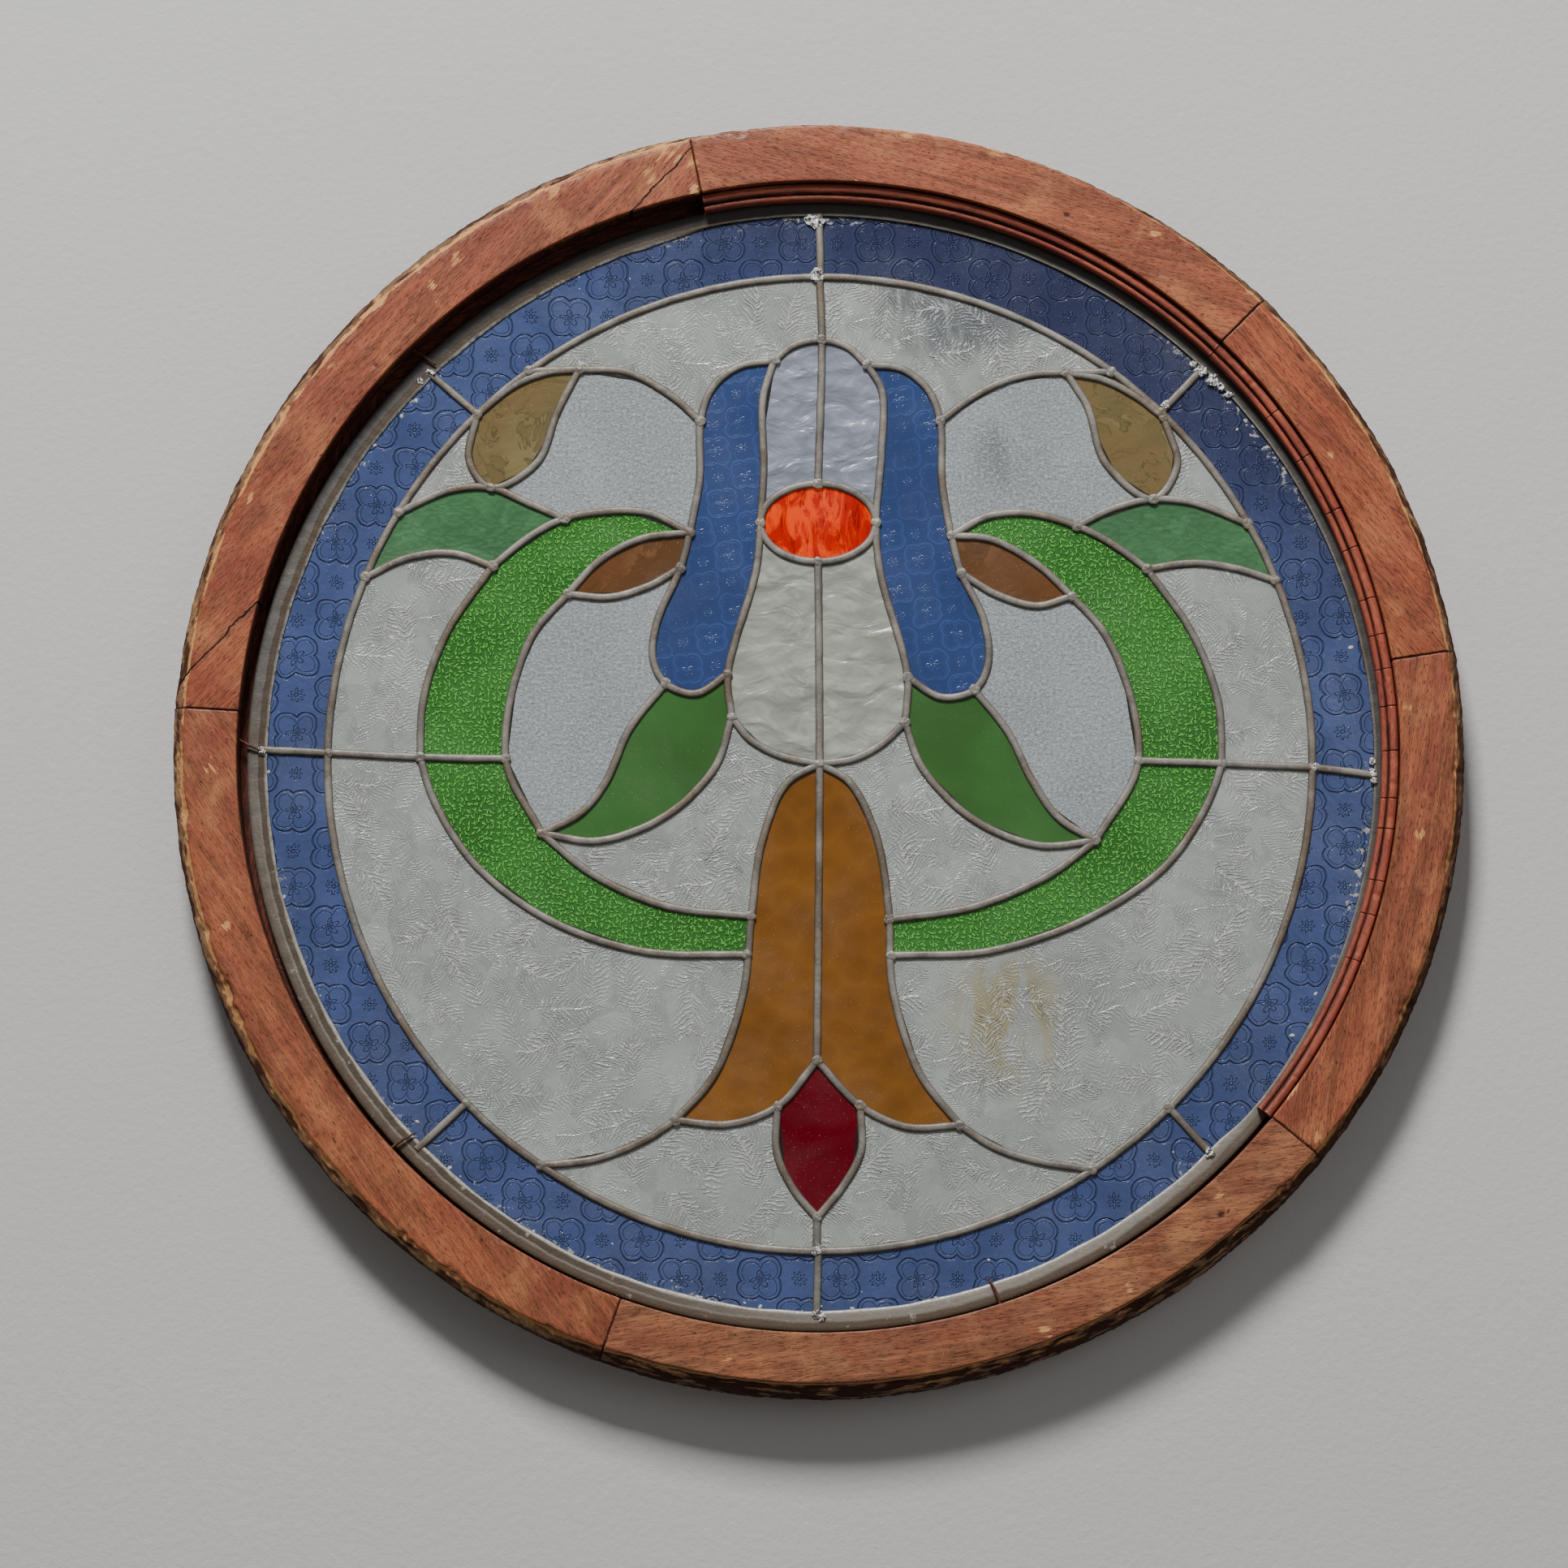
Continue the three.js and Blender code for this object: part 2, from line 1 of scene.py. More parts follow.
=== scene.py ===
"""Round stained glass window: the finished look of its wooden frame, leadwork and glass.

Everything is drawn in the plane of the window, with x to the right, y up from the middle of
the frame and h as the height above the wall, and is then stood up so that it faces -Y.
"""

import math

import bmesh
import bpy
import numpy as np
from bpy.props import FloatProperty, FloatVectorProperty, IntProperty, PointerProperty
from mathutils import Matrix, Vector, noise


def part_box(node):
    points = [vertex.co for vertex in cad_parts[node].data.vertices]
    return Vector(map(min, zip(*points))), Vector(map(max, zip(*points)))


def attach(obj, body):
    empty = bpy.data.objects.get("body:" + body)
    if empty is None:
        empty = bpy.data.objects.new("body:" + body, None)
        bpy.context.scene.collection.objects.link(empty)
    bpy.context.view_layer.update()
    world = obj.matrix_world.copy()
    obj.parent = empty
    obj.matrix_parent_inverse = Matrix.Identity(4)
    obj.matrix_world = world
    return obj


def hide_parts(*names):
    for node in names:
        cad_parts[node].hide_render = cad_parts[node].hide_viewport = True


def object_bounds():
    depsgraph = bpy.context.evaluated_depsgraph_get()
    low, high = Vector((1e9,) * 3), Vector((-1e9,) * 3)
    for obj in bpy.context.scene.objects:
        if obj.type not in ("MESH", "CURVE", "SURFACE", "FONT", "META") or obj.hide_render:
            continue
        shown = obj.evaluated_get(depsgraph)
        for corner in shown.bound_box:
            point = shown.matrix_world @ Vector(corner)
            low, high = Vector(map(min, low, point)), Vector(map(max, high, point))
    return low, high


bl_info = {
    "name": "Round Stained Glass Window",
    "version": (1, 0, 0),
    "blender": (4, 5, 0),
    "location": "View3D > Sidebar > Window",
    "description": "Dresses a round leaded window with weathered wood, lead and figured glass",
    "category": "Object",
}

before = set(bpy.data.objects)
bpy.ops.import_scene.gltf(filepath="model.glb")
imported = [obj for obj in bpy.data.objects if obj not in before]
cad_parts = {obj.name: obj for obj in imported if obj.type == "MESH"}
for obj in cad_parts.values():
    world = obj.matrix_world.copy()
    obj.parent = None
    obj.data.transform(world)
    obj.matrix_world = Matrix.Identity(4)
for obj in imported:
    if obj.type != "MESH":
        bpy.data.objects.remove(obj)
CAD_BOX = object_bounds()

MM = 0.001

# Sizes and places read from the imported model
RING_LOW, RING_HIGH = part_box("frame_back_ring")
LEAD_LOW, LEAD_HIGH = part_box("lead_cames")
FACE_LOW, FACE_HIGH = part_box("frame_front_top")
BEAD_LOW, BEAD_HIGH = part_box("bead_top")
FRAME_MIDDLE = (RING_LOW.z + RING_HIGH.z) / 2
FRAME_RADIUS = (RING_HIGH.x - RING_LOW.x) / 2
BACK_RING_TOP = -RING_LOW.y
FRONT_RING_BACK = -FACE_HIGH.y
FRONT_FACE = -FACE_LOW.y
PANEL_RADIUS = (LEAD_HIGH.x - LEAD_LOW.x) / 2
PANEL_MIDDLE = (LEAD_LOW.z + LEAD_HIGH.z) / 2 - FRAME_MIDDLE
PANEL_BACK = -LEAD_HIGH.y
PANEL_FRONT = -LEAD_LOW.y
BEAD_BACK = -BEAD_HIGH.y
BEAD_FRONT = -BEAD_LOW.y

# Widths across the frame, from the outside to the glass
OUTSIDE_FLARE = 4 * MM
FACE_WIDTH = 40.7 * MM
LIP_WIDTH = 16 * MM
BEAD_WIDTH = 11 * MM
SMALL_REED_WIDTH = 4.2 * MM
SMALL_REED_DROP = 3.5 * MM
JOINT_GAP = 0.3 * MM
FACE_OUTER = FRAME_RADIUS - OUTSIDE_FLARE
FACE_INNER = FACE_OUTER - FACE_WIDTH
LIP_INNER = FACE_INNER - LIP_WIDTH
RIM_CAME_WIDTH = 14 * MM
RIM_CAME_WALL = 7.5 * MM
BORDER_RADIUS = PANEL_RADIUS - 53.1 * MM
CAME_STEP = 2.3 * MM

STAND_UP = Matrix.Translation((0, 0, FRAME_MIDDLE)) @ Matrix.Rotation(math.pi / 2, 4, "X")

# Joints of the front ring in degrees from +x, with the run of the grain, how far each
# segment's face has settled behind the highest one and how much of its colour is gone
FRONT_SEGMENTS = {
    "frame_front_top": {"span": (45.3, 101.7), "grain": -15, "sunk": 0.0, "faded": 0.12},
    "frame_front_right_upper": {"span": (8.6, 45.3), "grain": -50, "sunk": 0.5 * MM, "faded": 0.03},
    "frame_front_right_lower": {"span": (-39.6, 8.6), "grain": 80, "sunk": 0.2 * MM, "faded": 0.15},
    "frame_front_bottom": {"span": (-109.5, -39.6), "grain": 8, "sunk": 0.4 * MM, "faded": 0.42},
    "frame_front_left_lower": {"span": (-183.6, -109.5), "grain": -55, "sunk": 0.1 * MM, "faded": 0.18},
    "frame_front_left_upper": {"span": (101.7, 176.4), "grain": 48, "sunk": 0.6 * MM, "faded": 0.08},
}
BACK_RING_JOINTS = (-64.4, -35, 22, 78, 140, 201)
BEADS = {"bead_top": (45.3, 101.7), "bead_right": (-39.6, 45.3)}
KERF_ANGLES = (36.5, 31, 24.8, 20.6, 15.2, 11.4, 7.9, 4.1, -0.4, -5.2, -8.3, -13.6, -17.1, -21.9)
BRADS = {
    "brad_upper_left": {"angle": 135.2, "lean": 14},
    "brad_left": {"angle": 178.8, "lean": -28},
    "brad_lower_left": {"angle": 223.5, "lean": -8},
    "brad_bottom": {"angle": -72.2, "lean": 3},
}

# Places on the front face where the varnish is rubbed away: x, y and reach in millimetres
RUBS = (
    (-406, -15, 7), (-84, 404, 11), (-84, 385, 6), (-101, 410, 16), (396, 26, 5), (347, 199, 4),
    (313, -229, 9), (330, -262, 7), (-245, 335, 10), (-262, 318, 6), (-330, 262, 7), (265, -300, 5),
    (120, 412, 9), (60, 421, 8), (-300, 306, 8), (-383, 170, 6), (230, 352, 6), (-180, 383, 8),
    (-112, 394, 12), (402, -60, 5), (-395, -120, 5), (-60, -405, 6), (150, -390, 7), (205, -360, 6),
)
CRACK_FROM = (-433, 40)
CRACK_TO = (-366, 112)
NAIL_HEADS = ((266, -313, 3.2), (170, 366, 2.4), (-300, 262, 2.4))

# How far the outer edge of the face and the side behind it lie outside their even circles:
# degrees, face and side in millimetres
FACE_EDGE = (
    (-180, -4.6, 0), (-135, -4.4, 0), (-118, -4.6, 0), (-100, -6.5, 0), (-70, -7.0, 0), (-52, -7.5, 0),
    (-41, -4.0, 0), (-30, -2.5, 0), (0, -3.2, 0), (30, -3.2, 0), (48, -2.2, -0.5), (62, -1.0, -2.0),
    (75, -0.2, -2.6), (97, -0.5, -2.6), (106, -2.5, -1.0), (120, -4.2, 0), (180, -4.6, 0),
)

# How much of the outer side is bare, by degrees
BARE_SIDE = ((-120, 0.8), (-95, 0.2), (-40, 0.3), (10, 0.5), (60, 0.8), (130, 1.0), (200, 0.8))

# Stains on the clear glass: x, y, reach along both in millimetres and the tint
SMUDGES = (
    (98, 293, 62, 30, (0.16, 0.18, 0.20)), (60, 318, 30, 26, (0.18, 0.20, 0.22)),
    (128, 205, 30, 30, (0.20, 0.22, 0.23)), (126, -182, 46, 52, (0.50, 0.42, 0.20)),
)

# The drawing of the leadwork, in the proportions of the field inside the blue border: from
# the middle of the panel, x to the right and y up, with border_foot on the border came
AT = {
    "middle": (3, 0),
    "border_top": (4, 862),
    "border_foot": (-3, -862),
    "border_left": (-858, 8),
    "border_right": (865, -20),
    "oval_top": (1, 487),
    "oval_foot": (1, 347),
    "oval_left": (-101, 417),
    "oval_right": (103, 417),
    "bud_top": (8, 747),
    "bud_foot": (3, -13),
    "ruby_top": (-2, -533),
    "ruby_foot": (-2, -804),
    "petal_top_l": (-77, 710),
    "petal_top_r": (88, 702),
    "shoulder_l": (-207, 600),
    "shoulder_r": (217, 600),
    "petal_foot_l": (-158, 147),
    "petal_foot_r": (158, 140),
    "leaf_top_l": (-267, 130),
    "leaf_top_r": (275, 118),
    "leaf_foot_l": (-151, 70),
    "leaf_foot_r": (153, 60),
    "leaf_tip_l": (-483, -135),
    "leaf_tip_r": (485, -149),
    "ribbon_tip_l": (-225, 400),
    "ribbon_tip_r": (235, 393),
    "small_leaf_l": (-242, 336),
    "small_leaf_r": (253, 326),
    "small_tip_l": (-440, 290),
    "small_tip_r": (447, 284),
    "outer_top_l": (-447, 425),
    "outer_top_r": (457, 410),
    "outer_foot_l": (-573, 340),
    "outer_foot_r": (580, 333),
    "drop_top_l": (-423, 694),
    "drop_top_r": (440, 687),
    "drop_side_l": (-603, 613),
    "drop_side_r": (612, 605),
    "drop_foot_l": (-577, 481),
    "drop_foot_r": (592, 458),
    "cross_inner_l": (-547, -3),
    "cross_outer_l": (-697, 0),
    "cross_inner_r": (561, -8),
    "cross_outer_r": (707, -13),
    "stem_foot_l": (-247, -636),
    "stem_foot_r": (245, -645),
    "ruby_side_l": (-70, -612),
    "ruby_side_r": (73, -611),
}
DRAWN_RADIUS = math.dist(AT["border_foot"], AT["middle"])

# Each came runs through its points; a name stands for a joint of the drawing
CAMES = (
    ("border_top", "bud_top", "oval_top"),
    ("oval_foot", "bud_foot", "ruby_top"),
    ("ruby_foot", "border_foot"),
    ("cross_inner_l", "cross_outer_l", "border_left"),
    ("cross_inner_r", "cross_outer_r", "border_right"),
    ("petal_top_l", (-42, 737), "bud_top", (52, 735), "petal_top_r"),
    ("petal_top_l", (-97, 640), (-95, 520), "oval_left", (-108, 335), "petal_foot_l", "leaf_foot_l"),
    ("petal_top_r", (114, 655), (113, 540), "oval_right", (110, 330), "petal_foot_r", "leaf_foot_r"),
    ("leaf_foot_l", (-118, 30), (-66, 2), "bud_foot"),
    ("leaf_foot_r", (112, 22), (62, -4), "bud_foot"),
    ("petal_top_l", (-140, 699), (-186, 661), "shoulder_l", (-208, 500), "ribbon_tip_l"),
    ("ribbon_tip_l", "small_leaf_l", (-284, 235), (-289, 172), "leaf_top_l", (-213, 112), "petal_foot_l"),
    ("petal_top_r", (150, 694), (196, 656), "shoulder_r", (220, 490), "ribbon_tip_r"),
    ("ribbon_tip_r", "small_leaf_r", (292, 243), (299, 165), "leaf_top_r", (217, 105), "petal_foot_r"),
    ("shoulder_l", (-262, 649), (-340, 690), "drop_top_l", (-512, 692)),
    ("shoulder_r", (287, 651), (365, 682), "drop_top_r", (520, 688)),
    ("drop_top_l", (-462, 615), (-495, 528), "drop_foot_l", (-616, 530), "drop_side_l"),
    ("drop_top_r", (478, 625), (508, 525), "drop_foot_r", (635, 520), "drop_side_r"),
    ("outer_top_l", (-510, 453), "drop_foot_l", (-650, 477), (-740, 437)),
    ("outer_foot_l", (-640, 363), (-722, 356), (-797, 321)),
    ("outer_top_r", (520, 441), "drop_foot_r", (665, 451), (758, 414)),
    ("outer_foot_r", (660, 344), (732, 335), (805, 312)),
    ("ribbon_tip_l", (-300, 436), (-373, 438), "outer_top_l", (-510, 392), "outer_foot_l"),
    ("outer_foot_l", (-652, 222), (-692, 105), "cross_outer_l"),
    ("cross_outer_l", (-673, -74), (-600, -188), (-470, -286), (-305, -342), (-124, -348)),
    ("ribbon_tip_l", (-307, 390), (-382, 352), "small_tip_l", (-508, 205), "cross_inner_l", "leaf_tip_l"),
    ("leaf_tip_l", (-393, -207), (-268, -262), (-117, -281)),
    ("ribbon_tip_r", (300, 428), (375, 433), "outer_top_r", (515, 381), "outer_foot_r"),
    ("outer_foot_r", (658, 218), (702, 95), "cross_outer_r"),
    ("cross_outer_r", (681, -83), (607, -192), (475, -282), (305, -341), (127, -350)),
    ("ribbon_tip_r", (302, 388), (378, 348), "small_tip_r", (514, 200), "cross_inner_r", "leaf_tip_r"),
    ("leaf_tip_r", (400, -211), (270, -265), (124, -287)),
    ("small_leaf_l", (-305, 301), (-372, 284), "small_tip_l"),
    ("small_leaf_r", (315, 288), (385, 268), "small_tip_r"),
    ("leaf_top_l", (-330, 50), (-370, -42), (-412, -97), "leaf_tip_l"),
    ("leaf_top_r", (333, 43), (375, -43), (420, -108), "leaf_tip_r"),
    ("leaf_tip_l", (-385, -148), (-268, -105), (-180, -18), "leaf_foot_l"),
    ("leaf_tip_r", (387, -157), (275, -113), (184, -22), "leaf_foot_r"),
    ("bud_foot", (-55, -47), (-97, -148), (-115, -270), (-131, -420), (-180, -557), "stem_foot_l"),
    ("bud_foot", (55, -45), (102, -140), (123, -270), (130, -410), (176, -555), "stem_foot_r"),
    ("ruby_top", "ruby_side_l", (-155, -643), "stem_foot_l"),
    ("ruby_top", "ruby_side_r", (155, -648), "stem_foot_r"),
    ("ruby_side_l", (-72, -690), (-42, -757), "ruby_foot"),
    ("ruby_side_r", (74, -690), (46, -745), "ruby_foot"),
    ("stem_foot_l", (-300, -670), (-385, -703), (-480, -714)),
    ("stem_foot_r", (305, -683), (385, -708), (473, -722)),
    ("drop_top_l", (-480, 689), (-540, 664), "drop_side_l"),
    ("drop_top_r", (500, 676), (562, 645), "drop_side_r"),
)
BORDER_SPOKES = (
    (89.8, 89.8), (45.5, 45.5), (-1.3, -2), (-45.5, -45.7),
    (-90.2, -90.2), (-135.3, -135.4), (179.5, 179.2), (134.6, 135),
)
OPEN_ENDS = (
    (-740, 437), (-797, 321), (758, 414), (805, 312), (-480, -714), (473, -722),
    (-124, -348), (127, -350), (-117, -281), (124, -287), (-512, 692), (520, 688),
)

# Where the lead was soldered again not long ago: x and y in millimetres from the middle of
# the panel, and the reach of the crumbly bright solder
FRESH_SOLDER = (
    (0, 370, 5.2), (0, 333, 5.2), (261, 265, 3.8), (269, 259, 4.2), (275, 254, 3.0), (237, 242, 2.8),
    (280, 249, 2.2), (256, 270, 2.0), (335, -8, 3.2), (373, -11, 3.4), (260, -267, 3.4), (-375, 4, 2.6),
    (-264, 265, 3.0), (-2, -331, 3.2), (0, -374, 3.8), (-271, 259, 2.6), (-5, 372, 3.2), (373, -3, 2.4),
    (374, -17, 2.4),
)


def paint(red, green, blue):
    """A colour given as eight bit display values, in the linear values that shaders use."""
    def linear(value):
        share = value / 255
        return share / 12.92 if share <= 0.04045 else ((share + 0.055) / 1.055) ** 2.4
    return (linear(red), linear(green), linear(blue))


def size_property(name, description, millimetres, **limits):
    return FloatProperty(
        name=name, description=description, default=millimetres * MM, min=0.0,
        subtype="DISTANCE", unit="LENGTH", precision=5, **limits,
    )


def colour_property(name, description, red, green, blue):
    return FloatVectorProperty(
        name=name, description=description, default=paint(red, green, blue),
        min=0.0, max=1.0, size=3, subtype="COLOR",
    )


class WindowSizes(bpy.types.PropertyGroup):
    """Sizes of the hand-made detail"""

    came_width: size_property("Came width", "Width of the face of a narrow came", 5.6)
    came_crown: size_property("Came crown", "Rise of the rounded face above the flange", 0.75)
    solder_height: size_property("Solder height", "Height of a solder joint over the came", 0.8)
    chip_depth: size_property("Chip depth", "Deepest chip in the outer front edge", 3.5)
    rim_roughness: size_property("Rim roughness", "Depth of the torn surface around the outside", 1.7)
    wood_relief: size_property("Wood relief", "Unevenness of the worn front face", 0.35)
    kerf_depth: size_property("Kerf depth", "Depth of the cross cracks in the bead", 1.6)
    brad_thickness: size_property("Brad thickness", "Thickness of a brad", 1.9)
    figure_pitch: size_property("Figure pitch", "Repeat of the pressed figure in the border", 37.0)
    ring_step: size_property("Ring step", "Length of one step around the wooden rings", 1.3)
    seed: IntProperty(name="Seed", description="Seed of everything irregular", default=7, min=0)


class WindowColours(bpy.types.PropertyGroup):
    """Colours of the woods, metals and glasses"""

    wood: colour_property("Varnished wood", "Red-brown body of the front ring", 179, 94, 63)
    wood_light: colour_property("Rubbed wood", "Bare wood where the varnish is gone", 226, 164, 104)
    # Also the black of the painted shade in the rebate, the bead's groove and a band near the outer edge.
    wood_dark: colour_property("Dark wood", "Pores, stains and the torn outside", 62, 28, 18)
    raw_wood: colour_property("Raw wood", "Torn and weathered wood", 154, 122, 88)
    bead: colour_property("Bead", "Varnish of the glazing bead", 184, 92, 66)
    lead: colour_property("Lead", "Weathered lead", 124, 119, 111)
    # Also laid on dark as painted shade under the bead and along the edges of the cames.
    lead_stain: colour_property("Lead stain", "Old brown stain on the lead", 104, 84, 62)
    solder: colour_property("Solder", "Crumbly bright solder", 236, 236, 232)
    putty: colour_property("Putty", "Dried putty and specks of paint", 205, 205, 198)
    rust: colour_property("Rust", "Rusted brads", 92, 54, 38)
    blue: colour_property("Border blue", "Figured glass of the border", 87, 104, 155)
    frosted: colour_property("Frosted", "Clear glass with ice flowers", 210, 215, 209)
    sandy: colour_property("Sandy", "Clear glass with a fine grain", 182, 188, 190)
    hammered_upper: colour_property("Upper hammered", "Bluish hammered glass", 174, 180, 196)
    hammered_lower: colour_property("Lower hammered", "Greenish hammered glass", 196, 201, 188)
    petal: colour_property("Petal blue", "Blue glass of the petals", 62, 85, 142)
    ribbon: colour_property("Ribbon green", "Bright green pressed glass", 94, 188, 82)
    outer_leaf: colour_property("Outer leaf green", "Blue-green glass", 84, 138, 90)
    lower_leaf: colour_property("Lower leaf green", "Plain leaf green glass", 76, 128, 64)
    amber: colour_property("Amber", "Glass of the stem", 150, 97, 38)
    brown: colour_property("Brown", "Glass of the small leaves", 128, 87, 52)
    olive: colour_property("Olive", "Mottled glass of the drops", 139, 126, 83)
    orange: colour_property("Orange", "Streaky glass of the oval", 240, 70, 0)
    ruby: colour_property("Ruby", "Red glass at the foot", 116, 0, 26)
    backdrop: colour_property("Backdrop", "Plain pale wall and floor", 211, 209, 207)


# Node trees
def add(tree, kind, inputs=None, **settings):
    """A node with its settings, and its inputs linked or set."""
    node = tree.nodes.new(kind)
    for name, value in settings.items():
        setattr(node, name, value)
    for key, value in (inputs or {}).items():
        if isinstance(value, bpy.types.NodeSocket):
            tree.links.new(value, node.inputs[key])
        else:
            node.inputs[key].default_value = value
    return node


def calc(tree, operation, first, second=0.0, third=0.0, clamp=False):
    node = add(tree, "ShaderNodeMath", {0: first, 1: second, 2: third}, operation=operation)
    node.use_clamp = clamp
    return node.outputs[0]


def times(tree, first, second, clamp=False):
    return calc(tree, "MULTIPLY", first, second, clamp=clamp)


def calc_vector(tree, operation, first, second=(0, 0, 0)):
    inputs = {0: first}
    if operation == "SCALE":
        inputs["Scale"] = second
    elif operation not in {"FRACTION", "ABSOLUTE", "LENGTH"}:
        inputs[1] = second
    node = add(tree, "ShaderNodeVectorMath", inputs, operation=operation)
    return node.outputs["Value" if operation in {"LENGTH", "DOT_PRODUCT"} else "Vector"]


def split_vector(tree, vector):
    """The outputs that hold the three parts of a vector."""
    return add(tree, "ShaderNodeSeparateXYZ", {"Vector": vector}).outputs


def rise(tree, value, low, high):
    """A soft step from 0 at one value to 1 at another, in either direction."""
    inputs = {"Value": value, "From Min": low, "From Max": high}
    node = add(tree, "ShaderNodeMapRange", inputs, interpolation_type="SMOOTHSTEP")
    return node.outputs["Result"]


def mix_colours(tree, share, first, second, mode="MIX"):
    inputs = {0: share, 6: first, 7: second}
    node = add(tree, "ShaderNodeMix", inputs, data_type="RGBA", blend_type=mode)
    return node.outputs[2]


def tinted(tree, tone, other, share, strength=1.0):
    """The tone with another colour laid over it, by a mask and a strength."""
    if strength != 1.0:
        share = times(tree, share, strength)
    return mix_colours(tree, share, tone, other)


def clouded(tree, clouds, colour, dark, pale):
    """A colour that drifts between two shares of itself."""
    return mix_colours(tree, rise(tree, clouds, 0.3, 0.7), rgba(colour, dark), rgba(colour, pale))


def noise_value(tree, vector, scale, detail=3.0, roughness=0.5, distortion=0.0):
    inputs = {
        "Vector": vector, "Scale": scale, "Detail": detail,
        "Roughness": roughness, "Distortion": distortion,
    }
    return add(tree, "ShaderNodeTexNoise", inputs).outputs["Fac"]


def stretched(tree, vector, scale, turn=0.0, shift=(0, 0, 0)):
    inputs = {"Vector": vector, "Location": shift, "Rotation": (0, 0, turn), "Scale": scale}
    return add(tree, "ShaderNodeMapping", inputs).outputs["Vector"]


def wandering(tree, vector, scale, reach):
    """The vector moved about by a soft noise."""
    wobble = add(tree, "ShaderNodeTexNoise", {"Vector": vector, "Scale": scale, "Detail": 2.0})
    bend = calc_vector(tree, "SUBTRACT", wobble.outputs["Color"], (0.5, 0.5, 0.5))
    return calc_vector(tree, "ADD", vector, calc_vector(tree, "SCALE", bend, reach))


def rgba(colour, factor=1.0):
    return (*(min(channel * factor, 1.0) for channel in colour), 1.0)


def shader_group(name, inputs, outputs):
    """An empty shader node group with its input and output nodes."""
    tree = bpy.data.node_groups.new(name, "ShaderNodeTree")
    for label, kind, default in inputs:
        socket = tree.interface.new_socket(label, in_out="INPUT", socket_type=kind)
        if default is not None:
            socket.default_value = default
    for label, kind in outputs:
        tree.interface.new_socket(label, in_out="OUTPUT", socket_type=kind)
    return tree, tree.nodes.new("NodeGroupInput"), tree.nodes.new("NodeGroupOutput")


def place_group(tree, group, inputs):
    return add(tree, "ShaderNodeGroup", inputs, node_tree=group)


def made_once(name):
    """Makes the node group of that name the first time and finds it after that."""
    def decorate(make):
        return lambda: bpy.data.node_groups.get(name) or make(name)
    return decorate


FLOAT, COLOUR, VECTOR = "NodeSocketFloat", "NodeSocketColor", "NodeSocketVector"
GREY = (0.5, 0.5, 0.5, 1.0)


